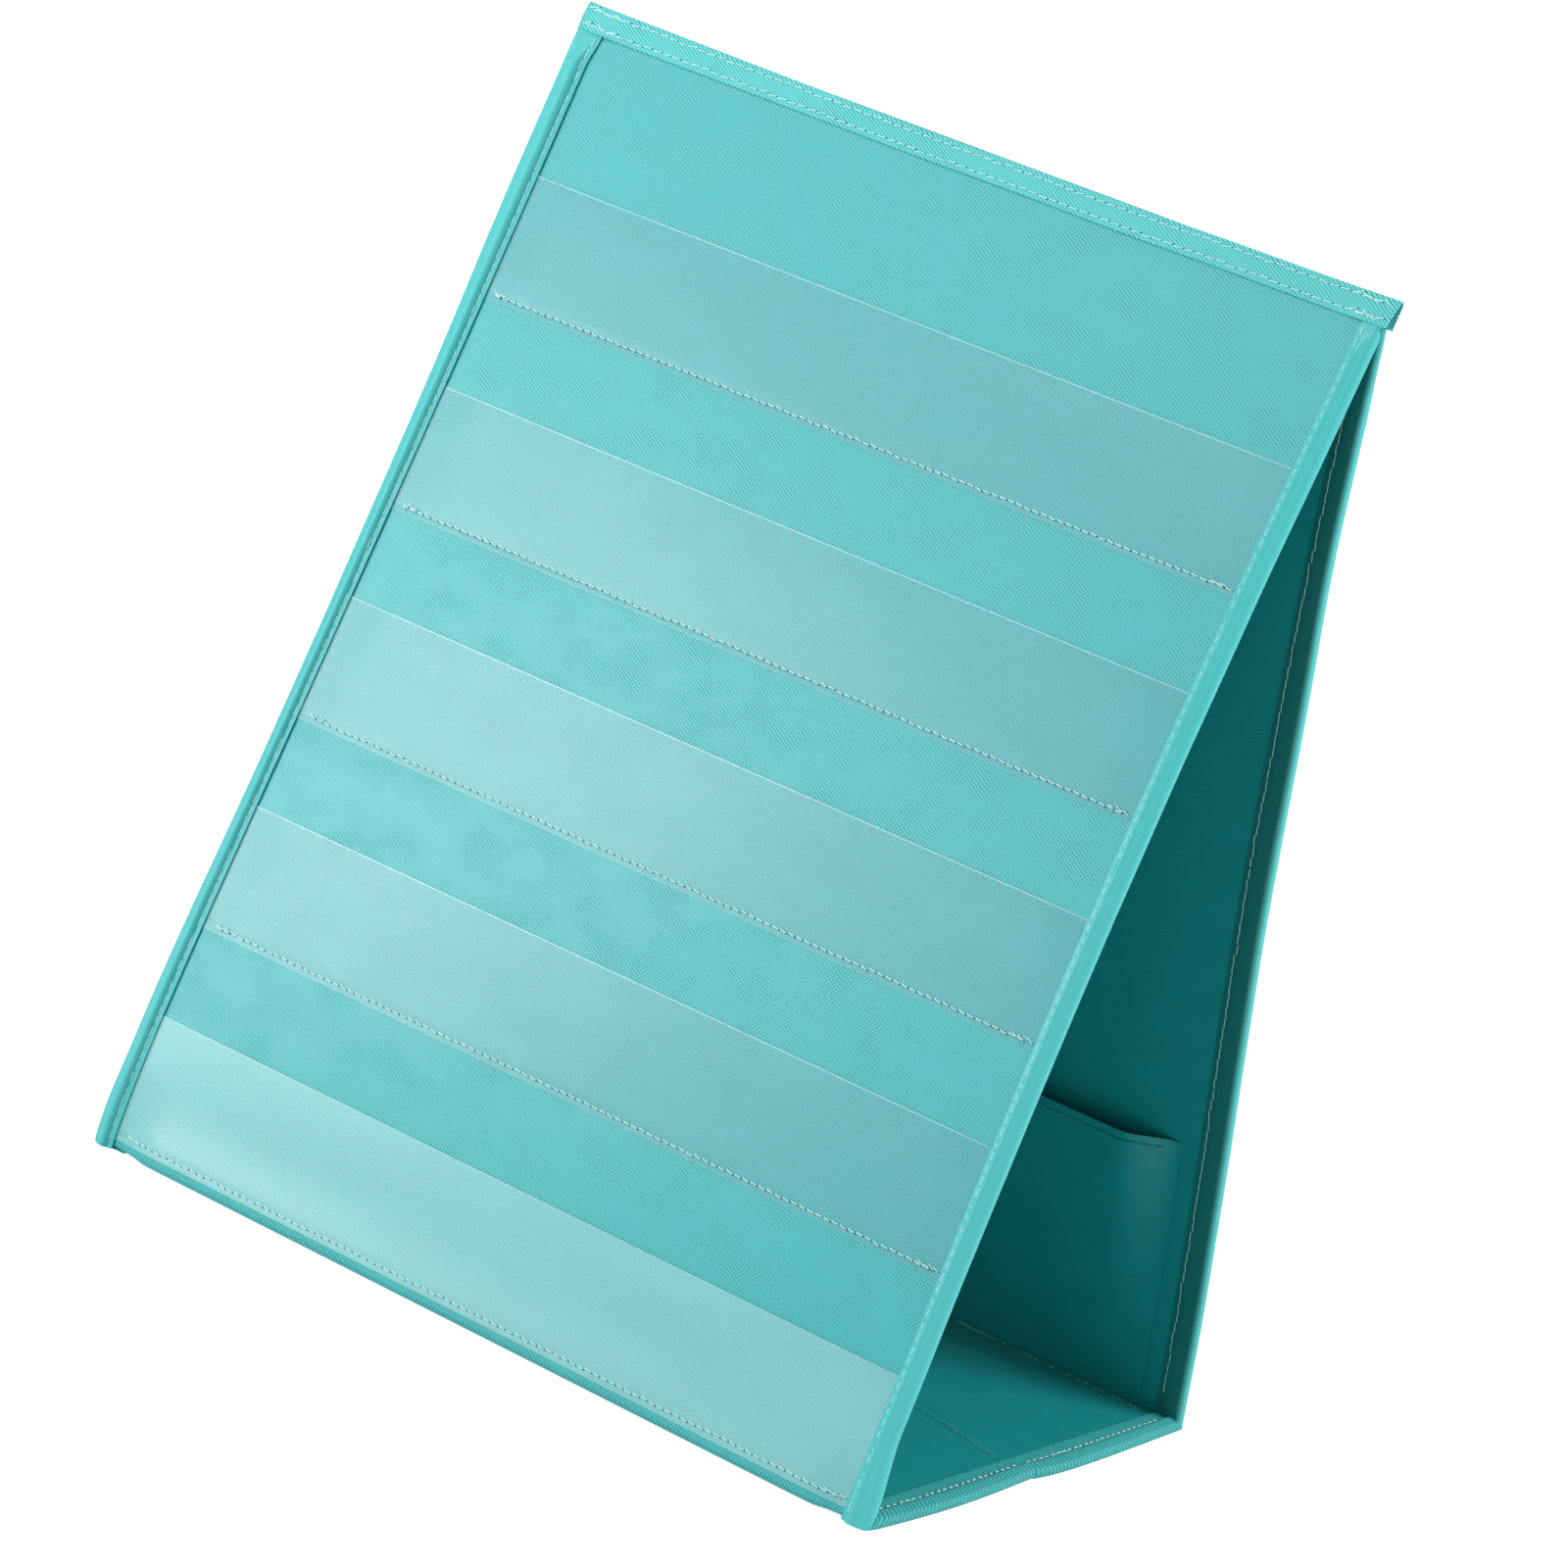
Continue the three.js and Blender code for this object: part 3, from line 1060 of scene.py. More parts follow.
@dataclass
class BaseTape(Sheet):
    """The ribbed tape folded over one side edge of the base, on over its middle.

    Args:
        thickness: Its thickness.
        hand: Which edge.
        width: Width of the cut.
        face: Width of the upper face.
        fold: Its section.
        half_length: Half the cut's length, from the base's middle to a lower fold.
        cut_back: How much shorter it is underneath, which leaves room for the cover's fold.
    """

    thickness: float = TAPE
    hand: Hand = Hand.RIGHT
    width: float = 22.6
    face: float = 9.4
    fold: EdgeFold = EdgeFold(
        gap=BASE_THICKNESS - TAPE, corner=1.6, seam=4.5, dip=0.2, belly=0.6, lip=0.05, pucker=0.05
    )
    half_length: float = HALF_DEPTH - FOOT_GAP
    cut_back: float = 1.6

    def facing(self) -> int:
        """The cut is laid from its upper lip outwards, so the left one lies face down."""
        return self.hand.sign

    def grid(self) -> tuple[list[float], list[float]]:
        """Fine lines at the corners and the middle fold."""
        across = stops(0, (7.0, 14), (15.0, 26), (self.width, 8))
        return across, stops(-self.half_length, (-4, 70), (4, 16), (self.half_length, 70))

    def drift(self, v: float) -> float:
        """How far the whole tape stands out: it was sewn a little askew."""
        along = v + self.half_length
        return mix(1.1, -0.1, along / self.half_length / 2) * mix(0.3, 1, ease(along, 0, 5))

    def slack(self, v: float) -> float:
        """How far the edge swells in each half. The middle fold draws it in.

        Args:
            v: Place along the cut.

        Returns:
            The swell, in mm.
        """
        share = v / self.half_length
        swell = 1.9 * math.sin(math.pi * (1 + share)) if share < 0 else 2.0 * math.sin(math.pi * share**0.55)
        return max(swell, 0.0)

    def at(self, u: float, v: float) -> Vector:
        """Where a place on the flat cut lies.

        Args:
            u: Place across the cut.
            v: Place along the cut.

        Returns:
            The place on the bench, in the middle of the thickness.
        """
        reach, h = self.fold.at(u, self.face, self.width)
        z = max(BASE_THICKNESS - TAPE / 2 + h + self.fold.puckered(u, v), TAPE / 2)
        end = self.half_length - z * BASE_PIVOT_ALONG / PIVOT_UP
        end -= self.cut_back * ease(-reach, 2.5, 4.5) * ease(z, 1.5, 0.5)
        out = self.drift(v) + self.slack(v) * ease(reach, -self.face, 0)
        return Vector((self.hand.sign * (HALF_WIDTH + reach + out), v / self.half_length * end, z))


@dataclass
class BaseLining(Sheet):
    """The dark cloth over both halves of the base, with a fine ridge along its middle.

    Args:
        half: Half its width.
        rise: Its height over the table.
        ridge: Height of the ridge along its middle.
        trough: Depth of the fold on each side of the ridge.
        ripple: Its unevenness.
    """

    half: float = 158.9
    rise: float = 3.3
    ridge: float = 0.5
    trough: float = 0.15
    ripple: Ripple = field(default_factory=lambda: Ripple(0.14, 40, 8))

    @property
    def end(self) -> float:
        """How far it reaches from the middle."""
        return HALF_DEPTH - 0.25 - self.rise * BASE_PIVOT_ALONG / PIVOT_UP

    def fold_line(self, u: float) -> float:
        """Where the stitched line over the middle fold runs: it strays a little before the right edge."""
        return 4.2 * ease(u, 40, 100) - 10.0 * ease(u, 104, 156)

    def grid(self) -> tuple[list[float], list[float]]:
        """Fine lines at the middle fold."""
        return stops(-self.half, (self.half, 80)), stops(-self.end, (-9, 34), (8, 42), (self.end, 34))

    def at(self, u: float, v: float) -> Vector:
        """Where a place on the flat cut lies.

        Args:
            u: Place across the cut.
            v: Place along the cut.

        Returns:
            The place on the bench, in the middle of the thickness.
        """
        off = v - self.fold_line(u)
        fold = (self.ridge * bell(off, 1.0) - self.trough * bell(abs(off) - 3, 1.2)) * ease(abs(u), 150, 142)
        calm = ease(abs(u), 145, 130) * ease(abs(v), self.end, self.end - 12)
        return Vector((u, v, self.rise + fold + calm * abs(self.ripple.at(u, v))))


@dataclass
class RidgeStrip(Sheet):
    """The woven strip folded over the ridge. Its middle sags a little.

    Args:
        thickness: Its thickness.
        radius: Radius of its fold.
        foot: Place of its lower edge in front.
        inner_foot: Place of its lower edge inside the tent.
        crown: Place of its fold's top.
        seams: Places of its two seams.
        sag: How far its middle sags.
        skew: How far its lower right corner was sewn in from the edge.
        belly: How far its outer face swells.
        dip: How far the seams pull it in.
        press: How far its lower edge is pressed down between the side tapes.
        over_tape: How far it rises over them.
        wander: How its edges stray.
    """

    thickness: float = TAPE
    radius: float = 1.15
    foot: float = 410.1
    inner_foot: float = 410.2
    crown: float = 419.75
    seams: tuple[float, float] = (412.1, 417.8)
    sag: float = 1.4
    skew: float = 1.4
    belly: float = 0.25
    dip: float = 0.22
    press: float = 0.35
    over_tape: float = 0.3
    wander: Ripple = field(default_factory=lambda: Ripple(0.12, 35, 5))

    @property
    def fold_start(self) -> float:
        """Place across the cut where the fold starts."""
        return self.crown - self.radius - self.foot

    @property
    def width(self) -> float:
        """Width of the cut."""
        return self.fold_start + math.pi * self.radius + self.crown - self.radius - self.inner_foot

    def grid(self) -> tuple[list[float], list[float]]:
        """Fine lines across the strip's section.

        Returns:
            Places of the grid lines across and along the cut.
        """
        start = self.fold_start
        across = stops(-HALF_WIDTH, (HALF_WIDTH, 160))
        return across, stops(0, (start, 22), (start + math.pi * self.radius, 10), (self.width, 10))

    def at(self, u: float, v: float) -> Vector:
        """Where a place on the flat cut lies.

        Args:
            u: Place across the cut.
            v: Place along the cut.

        Returns:
            The place on the bench, in the middle of the thickness.
        """
        share = min(v / self.fold_start, 1.0)
        sag = self.sag * mix(0.45, 1.0, share) * (1 - (u / HALF_WIDTH) ** 2) + self.wander.at(u, 0)
        over_tape = self.over_tape * ease(abs(u), 147, 151)
        turn = (v - self.fold_start) / self.radius
        u -= self.skew * ease(u, 146, HALF_WIDTH) * (1 - share)
        if turn < 0:
            s = self.foot + v
            dips = self.dip * sum(bell(s - seam, 0.9) for seam in self.seams)
            pressed = self.press * ease(abs(u), 147, 143) * ease(v, 2.2, 0)
            h = self.belly * math.sin(math.pi * share) - dips + over_tape * ease(v, 8, 0) - pressed
        elif turn <= math.pi:
            s = self.foot + self.fold_start + self.radius * math.sin(turn)
            h = self.radius * (math.cos(turn) - 1)
        else:
            s = self.foot + self.fold_start - (turn - math.pi) * self.radius
            h = -2 * self.radius
        return Vector((u, s - sag, h - TAPE / 2))


@dataclass
class PocketFilm(Sheet):
    """One clear pocket: a strip of film sewn on above its lower lip, and open along its mouth.

    Args:
        thickness: Its thickness.
        half: Half its width.
        mouth: Place of its open edge.
        height: Distance from its mouth to its seam.
        lip: Distance from its seam to its lower edge.
        depth: Its depth under the panel's outer face.
        dip: How far the seam pulls it in.
        edge_dip: How far the side tapes press it down.
        slack: How far it stands off the cover at its seam.
        mouth_slack: How much further it stands off at its mouth.
        ripple: Its unevenness.
    """

    thickness: float = FILM
    half: float = 154.4
    mouth: float = 358.5
    height: float = 42.6
    lip: float = 2.3
    depth: float = 0.85
    dip: float = 0.1
    edge_dip: float = 0.12
    slack: float = 0.16
    mouth_slack: float = 0.25
    ripple: Ripple = field(default_factory=lambda: Ripple(0.1, 70, 21))

    @property
    def foot(self) -> float:
        """Place of the lower edge."""
        return self.mouth - self.height - self.lip

    def grid(self) -> tuple[list[float], list[float]]:
        """Fine lines at the seam.

        Returns:
            Places of the grid lines across and along the cut.
        """
        mouth = self.lip + self.height
        along = stops(0, (self.lip, 4), (self.lip + 6, 6), (mouth - 0.5, 12), (mouth, 1))
        return stops(-self.half, (self.half, 76)), along

    def at(self, u: float, v: float) -> Vector:
        """Where a place on the flat cut lies.

        Args:
            u: Place across the cut.
            v: Place along the cut.

        Returns:
            The place on the bench, in the middle of the thickness.
        """
        s = self.foot + v
        share = max(v - self.lip, 0) / self.height
        free = ease(abs(u), 148, 134)
        h = 0.03 * ease(v, self.lip, self.lip - 2) - self.dip * bell(v - self.lip, 1.2)
        h = min(h, 0) - self.edge_dip * ease(abs(u), 145, 149)
        h += free * (self.slack + self.mouth_slack * smooth(share) + smooth(share * 3) * self.ripple.at(u, s))
        return Vector((u, s, self.bench.settle(u, s, h - self.depth)))


@dataclass
class StoragePocket(Sheet):
    """The dark cloth wall inside the rear panel, sewn at its sides and foot, with a hem at its slack mouth.

    Args:
        half: Half its width.
        foot: Place of its lower edge.
        mouth: Place of its upper edge.
        hem: Width of the hem that is turned in.
        stand_off: How far its mouth stands off the panel.
        gusset: Width over which each side falls back to the panel.
        depth: Depth of its sewn sides under the panel's outer face.
        sag: How far the mouth's middle sags.
        ripple: Its unevenness.
    """

    half: float = 143.0
    foot: float = PIVOT_ALONG + 4
    mouth: float = 109.6
    hem: float = 5.0
    stand_off: float = 8.2
    gusset: float = 20.0
    depth: float = 4.4
    sag: float = 1.2
    ripple: Ripple = field(default_factory=lambda: Ripple(0.5, 45, 17))

    def facing(self) -> int:
        """The wall faces inwards."""
        return -1

    def grid(self) -> tuple[list[float], list[float]]:
        """Fine lines at the gussets and the hem.

        Returns:
            Places of the grid lines across and along the cut.
        """
        full = self.half - self.gusset
        across = stops(-self.half, (-full, 14), (full, 50), (self.half, 14))
        wall = self.mouth - self.foot
        return across, stops(0, (wall - 1, 40), (wall + 1, 6), (wall + self.hem, 5))

    def at(self, u: float, v: float) -> Vector:
        """Where a place on the flat cut lies: up the wall, and then back down behind it as the hem.

        Args:
            u: Place across the cut.
            v: Place along the cut.

        Returns:
            The place on the bench, in the middle of the thickness.
        """
        wall = self.mouth - self.foot
        turn = ease(v, wall - 0.6, wall + 0.6)
        up = min(v, wall) - max(v - wall, 0)
        fullness = ease(abs(u), self.half, self.half - self.gusset)
        share = up / wall
        sag = self.sag * share * fullness * math.sin(math.pi * (u + self.half) / (2 * self.half))
        depth = self.depth + (self.stand_off * share + smooth(share * 2) * self.ripple.at(u, v)) * fullness
        s = self.foot + up - sag
        return Vector((u, s, self.bench.settle(u, s, -depth + 0.5 * turn)))


@dataclass(frozen=True)
class Stitch:
    """One stitch: a short low arc of thread, and beside it a flat dark disc, painted shadow of its needle
    hole.

    Args:
        length: Its length, in mm.
        thickness: The thread's thickness.
        rise: How high the arc stands.
        sides: Number of sides of the thread and of the shadow disc.
        hole_place: Place of the painted shadow disc from the stitch's end.
        hole_size: The painted shadow disc's size from its middle, along and across.
    """

    length: float = 3.2
    thickness: float = 0.46
    rise: float = 0.26
    sides: int = 6
    hole_place: tuple[float, float, float] = (0.45, -0.12, -0.02)
    hole_size: tuple[float, float] = (0.7, 0.26)

    def model(self, thread: bpy.types.Material, shadow_disc: bpy.types.Material) -> bpy.types.Mesh:
        """Model the stitch once, along x, in mm.

        Args:
            thread: The thread's material.
            shadow_disc: The material of the painted shadow at the needle hole.

        Returns:
            Its mesh.
        """
        deselect_all()
        radius = (self.length**2 / 4 + self.rise**2) / (2 * self.rise)
        swing = math.asin(self.length / 2 / radius)
        start = (-self.length / 2, 0, 0)
        bpy.ops.mesh.primitive_circle_add(
            vertices=self.sides,
            radius=self.thickness / 2,
            location=start,
            rotation=(0, math.pi / 2 - swing, 0),
        )
        bpy.ops.object.transform_apply(location=True, rotation=True, scale=True)
        arc = bpy.context.active_object
        bpy.ops.object.mode_set(mode="EDIT")
        bpy.ops.mesh.select_all(action="SELECT")
        bpy.ops.mesh.spin(steps=5, angle=-2 * swing, center=(0, 0, self.rise - radius), axis=(0, 1, 0))
        bpy.ops.mesh.select_all(action="SELECT")
        bpy.ops.mesh.fill_holes(sides=self.sides)
        bpy.ops.mesh.normals_make_consistent(inside=False)
        bpy.ops.object.mode_set(mode="OBJECT")
        arc.data.materials.append(thread)
        deselect_all()
        # A flat dark disc past the stitch's end: painted shadow of the needle hole.
        past, aside, height = self.hole_place
        place = (self.length / 2 + past, aside, height)
        bpy.ops.mesh.primitive_circle_add(vertices=self.sides, radius=1.0, fill_type="NGON", location=place)
        bpy.ops.transform.resize(value=(*self.hole_size, 1.0))
        bpy.ops.object.transform_apply(location=True, rotation=True, scale=True)
        dot = bpy.context.active_object
        dot.data.materials.append(shadow_disc)
        arc.select_set(True)
        bpy.context.view_layer.objects.active = arc
        bpy.ops.object.join()
        bpy.ops.object.shade_smooth_by_angle(angle=math.radians(60))
        mesh = arc.data
        bpy.data.objects.remove(arc)
        return mesh


@dataclass
class SewingKit:
    """The chart's three stitches, each modelled once.

    Args:
        finishes: The chart's materials.
        pale: The stitch that shows.
        dim: One that shows less, for inner seams.
        dark: One dyed to the lining.
    """

    finishes: Finishes
    pale: bpy.types.Mesh = field(init=False)
    dim: bpy.types.Mesh = field(init=False)
    dark: bpy.types.Mesh = field(init=False)

    def __post_init__(self) -> None:
        """Model the stitches."""
        threads = (self.finishes.thread, self.finishes.dim_thread, self.finishes.dark_thread)
        shadow_disc = self.finishes.painted_needle_shadow
        self.pale, self.dim, self.dark = (Stitch().model(thread, shadow_disc) for thread in threads)


def row(start: float, v: float) -> Callable[[float], tuple[float, float]]:
    """Line of a seam across a cut, from a start, at one place along it."""
    return lambda distance: (start + distance, v)


def column(u: float, start: float) -> Callable[[float], tuple[float, float]]:
    """Line of a seam along a cut, from a start, at one place across it."""
    return lambda distance: (u, start + distance)


@dataclass
class Seam:
    """A run of stitches over a sheet.

    Args:
        name: The piece's name.
        host: The sheet that it is sewn on.
        line: Place on the host's cut at a distance along the seam.
        length: Length of the seam, in mm.
        pitch: Distance from stitch to stitch.
        stands_for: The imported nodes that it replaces.
        thickness: The thread's thickness, as a share of the modelled one.
        wander: How far the stitches stray, in mm.
        slant: How far each stitch turns from the line, in degrees.
        stray: How unevenly the stitches turn, in degrees.
        gap: Space between stitches, in mm.
        skip: Share of the stitches that are broken off.
        seed: Fixes the unevenness.
    """

    name: str
    host: Sheet
    line: Callable[[float], tuple[float, float]]
    length: float
    pitch: float
    stands_for: tuple[str, ...] = ()
    thickness: float = 1.0
    wander: float = 0.12
    slant: float = 4.0
    stray: float = 2.5
    gap: float = 0.75
    skip: float = 0.0
    seed: int = 1

    def sew(self, stitch: bpy.types.Mesh, body: str | None) -> bpy.types.Object:
        """Lay the stitches on the host and join them as one piece.

        Args:
            stitch: One stitch.
            body: The body that the seam rides on, or None where it crosses a fold.

        Returns:
            The finished piece.
        """
        draw = random.Random(self.seed)
        bench = bmesh.new()
        for number in range(int(self.length / self.pitch)):
            if draw.random() < self.skip:
                continue
            first = len(bench.verts)
            bench.from_mesh(stitch)
            bench.verts.ensure_lookup_table()
            place = self.place((number + 0.5) * self.pitch, draw)
            bmesh.ops.transform(bench, matrix=place, verts=bench.verts[first:])
        mesh = stitch.copy()
        mesh.name = self.name
        bench.to_mesh(mesh)
        bench.free()
        mesh.transform(self.host.bench.stand())
        piece = bpy.data.objects.new(self.name, mesh)
        bpy.context.scene.collection.objects.link(piece)
        if self.stands_for:
            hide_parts(*self.stands_for)
        if body:
            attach(piece, body)
        LOG.info("%s: %d faces", self.name, len(mesh.polygons))
        return piece

    def place(self, distance: float, draw: random.Random) -> Matrix:
        """Matrix that lays one stitch.

        Args:
            distance: How far along the seam it lies.
            draw: Source of the unevenness.

        Returns:
            The matrix, on the host's bench.
        """
        u, v = self.line(distance)
        middle = self.host.at(u, v)
        before, after = (self.host.at(*self.line(distance + step)) for step in (-0.3, 0.3))
        out = self.host.outward(u, v)
        along = (after - before).normalized()
        turn = math.radians(self.slant + draw.gauss(0, self.stray))
        aside = out.cross(along).normalized()
        forward = along * math.cos(turn) + aside * math.sin(turn)
        aside = out.cross(forward).normalized()
        # The thread lies just clear of the sheet's face.
        middle = middle + out * (self.host.thickness / 2 + 0.04) + aside * draw.gauss(0, self.wander)
        stretch = (self.pitch - self.gap) / Stitch.length * draw.uniform(0.9, 1.08)
        turned = Matrix((forward, aside, out)).transposed().to_4x4()
        sized = Matrix.Diagonal((stretch, self.thickness, self.thickness, 1))
        return Matrix.Translation(middle) @ turned @ sized


@dataclass
class Panel:
    """One panel: cover, board, lining, side tapes and clear pockets, with all their seams.

    Args:
        side: Which panel it is.
        finishes: The chart's materials.
        kit: The chart's stitches.
        pocket_mouths: Places of the pockets' open edges, from the top.
        seed: Sets its unevenness apart from the other panel's.
    """

    side: Side
    finishes: Finishes
    kit: SewingKit
    pocket_mouths: tuple[float, ...] = (358.5, 281.1, 203.7, 126.3, 48.9)
    seed: int = 0

    def __post_init__(self) -> None:
        """Lay out the panel's bench."""
        self.bench = PanelBench(self.side)

    def make(self) -> None:
        """Make all the panel's pieces."""
        self.make_cover()
        self.make_board_and_lining()
        for number, mouth in enumerate(self.pocket_mouths, start=1):
            self.make_pocket(number, mouth)
        for hand in Hand:
            self.make_side_tape(hand)

    def make_cover(self) -> None:
        """Lay the cover round the panel's lower fold and under its half of the base."""
        name, base = self.side.value, self.side.base
        nodes = (f"{name}_cover", f"{base}_cover")
        top = 418.9 if self.side is Side.FRONT else 409.0
        finish = self.finishes.cover
        cover = CoverCloth(f"{name}_cover_cloth", self.bench, finish, "cover_cloth", nodes, top=top)
        cover.cut()
        start, end = ((0, -depth * self.side.facing, height) for depth, height in LOWER_FOLD)
        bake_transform(cover.piece)
        cover.declare("stretched", f"{name}_curved_board", f"{base}_board")

    def make_board_and_lining(self) -> None:
        """Put the board and the lining in."""
        name = self.side.value
        board = PanelSheet(
            f"{name}_curved_board",
            self.bench,
            self.finishes.board,
            "board",
            (f"{name}_board",),
            thickness=BOARD,
            depth=2.6,
            half=158.6,
            foot=6.4,
            top=405.0,
        )
        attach(board.cut(), self.side.panel)
        lining = PanelSheet(
            f"{name}_lining_cloth",
            self.bench,
            self.finishes.lining,
            "lining",
            (f"{name}_lining",),
            ripple=Ripple(0.14, 45, 30 + self.seed),
        )
        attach(lining.cut(), self.side.panel)
        lining.declare("stretched", f"{name}_curved_board")

    def make_pocket(self, number: int, mouth: float) -> None:
        """Sew one clear pocket on.

        Args:
            number: The pocket's number, from the top.
            mouth: Place of its open edge.
        """
        name = f"{self.side.value}_pocket_{number}"
        film = PocketFilm(
            f"{name}_film",
            self.bench,
            # The lowest pocket takes the film with painted sheen.
            self.finishes.painted_sheen_film if number == len(self.pocket_mouths) else self.finishes.film,
            "clear_film",
            (name,),
            mouth=mouth,
            ripple=Ripple(0.07, 70, 40 + number + self.seed),
        )
        piece = film.cut()
        # The film's last 0.7 mm below the mouth takes the painted highlight.
        piece.data.materials.append(self.finishes.film_mouth_highlight)
        cut_map = piece.data.uv_layers[CUT_MAP].data
        bright_from = film.lip + film.height - 0.7
        for face in piece.data.polygons:
            if min(cut_map[loop].uv.y for loop in face.loop_indices) > bright_from:
                face.material_index = 1
        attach(piece, self.side.panel)
        film.declare("stretched", f"{self.side.value}_cover_cloth")
        seam = Seam(
            f"{name}_stitches",
            film,
            row(-148.5, film.lip),
            length=297,
            pitch=3.2,
            stands_for=(f"{name}_seam",),
            thickness=0.85,
            slant=-7,
            seed=60 + number + self.seed,
        )
        seam.sew(self.kit.pale, self.side.panel)
        for hand, start, length in ((Hand.LEFT, -148, 7), (Hand.RIGHT, 141, 9)):
            tack = Seam(
                f"{name}_backtack_{hand.value}",
                film,
                row(start, film.lip + 0.5),
                length=length,
                pitch=1.9,
                thickness=0.7,
                wander=0.3,
                slant=-12,
                stray=14,
                gap=-0.4,
                seed=70 + number,
            )
            tack.sew(self.kit.pale, self.side.panel)

    def make_side_tape(self, hand: Hand) -> None:
        """Fold the tape over one side edge and sew it through.

        Args:
            hand: Which edge.
        """
        name = f"{self.side.value}_{hand.value}"
        front = self.side is Side.FRONT
        tape = SideTape(
            f"{name}_tape",
            self.bench,
            self.finishes.side_tape,
            "panel_tape",
            (f"{name}_binding",),
            hand=hand,
            width=24.0 if front else 22.2,
            top=413.0 if front else 410.5,
            tuck=1.0 if front else 0.0,
        )
        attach(tape.cut(), self.side.panel)
        tape.declare("folded", f"{self.side.value}_cover_cloth", f"{self.side.value}_lining_cloth")
        seam = Seam(
            f"{name}_outer_stitches",
            tape,
            column(tape.fold.seam, 3),
            length=409 if front else 402,
            pitch=TAPE_PITCH,
            stands_for=(f"{name}_seam",),
            thickness=0.85,
            seed=80 + self.seed,
        )
        seam.sew(self.kit.pale, self.side.panel)
        inner = Seam(
            f"{name}_inner_stitches",
            tape,
            lambda distance: (tape.fold.far_seam(tape.face(distance)), distance + 9),
            length=388,
            pitch=TAPE_PITCH,
            thickness=0.8,
            wander=0.2,
            gap=0.4,
            seed=90 + self.seed,
        )
        inner.sew(self.kit.dim, self.side.panel)


@dataclass
class Base:
    """The base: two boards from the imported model, one lining over both, and a ribbed tape at each side.

    Args:
        finishes: The chart's materials.
        kit: The chart's stitches.
    """

    finishes: Finishes
    kit: SewingKit

    def make(self) -> None:
        """Make all the base's pieces."""
        bench = Bench()
        nodes = ("base_front_lining", "base_rear_lining")
        lining = BaseLining("base_lining_cloth", bench, self.finishes.lining, "lining", nodes)
        self.bend(lining.cut())
        lining.declare("stretched", "base_front_board", "base_rear_board")
        self.sew_lining(lining)
        for hand in Hand:
            self.make_tape(bench, hand)
        for node in ("base_front_board", "base_rear_board"):
            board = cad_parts[node]
            for slot in board.material_slots:
                slot.material = self.finishes.board

    def bend(self, piece: bpy.types.Object) -> None:
        """Bake a piece's placement into its mesh. It does not bend with the base's middle fold.

        Args:
            piece: The piece.
        """
        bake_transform(piece)

    def sew_lining(self, lining: BaseLining) -> None:
        """Sew the lining down over the middle fold and, less neatly, along the rear fold.

        Args:
            lining: The lining.
        """
        middle = Seam(
            "base_middle_stitches",
            lining,
            lambda distance: (distance - 149, lining.fold_line(distance - 149) - 0.9),
            length=298,
            pitch=3.0,
            thickness=0.5,
            wander=0.1,
            seed=115,
        )
        self.bend(middle.sew(self.kit.dim, None))
        rear = Seam(
            "base_rear_fold_stitches",
            lining,
            row(-149, 97.6),
            length=296,
            pitch=2.3,
            thickness=0.6,
            wander=0.35,
            slant=-10,
            stray=16,
            gap=0.3,
            skip=0.25,
            seed=118,
        )
        rear.sew(self.kit.dim, "base_rear")

    def make_tape(self, bench: Bench, hand: Hand) -> None:
        """Fold a tape over one side edge and sew both halves.

        Args:
            bench: The base's bench.
            hand: Which edge.
        """
        nodes = tuple(f"{half}_{hand.value}_binding" for half in ("base_front", "base_rear"))
        finish = self.finishes.base_tape
        tape = BaseTape(f"base_{hand.value}_tape", bench, finish, "base_tape", nodes, hand=hand)
        self.bend(tape.cut())
        tape.declare("folded", "base_lining_cloth")
        for half, start in (("base_front", -104.0), ("base_rear", 0.5)):
            seam = Seam(
                f"{half}_{hand.value}_stitches",
                tape,
                column(tape.fold.seam, start),
                length=102,
                pitch=TAPE_PITCH,
                stands_for=(f"{half}_{hand.value}_seam",),
                thickness=1.35,
                slant=9,
                gap=0.2,
                seed=110,
            )
            seam.sew(self.kit.pale, half)


@dataclass
class Ridge:
    """The strip over the ridge with its two rows of stitches.

    Args:
        finishes: The chart's materials.
        kit: The chart's stitches.
    """

    finishes: Finishes
    kit: SewingKit

    def make(self) -> None:
        """Make the strip and its seams."""
        strip = RidgeStrip(
            "ridge_strip", PanelBench(Side.FRONT), self.finishes.strip_tape, "strip_tape", ("top_binding",)
        )
        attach(strip.cut(), "front_panel")
        strip.declare("folded", "front_cover_cloth")
        for place, s in zip(("lower", "upper"), strip.seams):
            seam = Seam(
                f"ridge_{place}_stitches",
                strip,
                row(-157.5, s - strip.foot),
                length=315,
                pitch=4.0,
                stands_for=(f"top_binding_{place}_seam",),
                thickness=0.7,
                wander=0.15,
                seed=130 + int(s),
            )
            seam.sew(self.kit.pale, "front_panel")
            for hand, start in ((Hand.LEFT, -158.5), (Hand.RIGHT, 144.0)):
                tack = Seam(
                    f"ridge_{place}_{hand.value}_backtack",
                    strip,
                    row(start, s - strip.foot + 0.4),
                    length=13.5,
                    pitch=2.7,
                    thickness=0.8,
                    wander=0.35,
                    stray=15,
                    gap=-0.3,
                    seed=140 + int(s),
                )
                tack.sew(self.kit.pale, "front_panel")


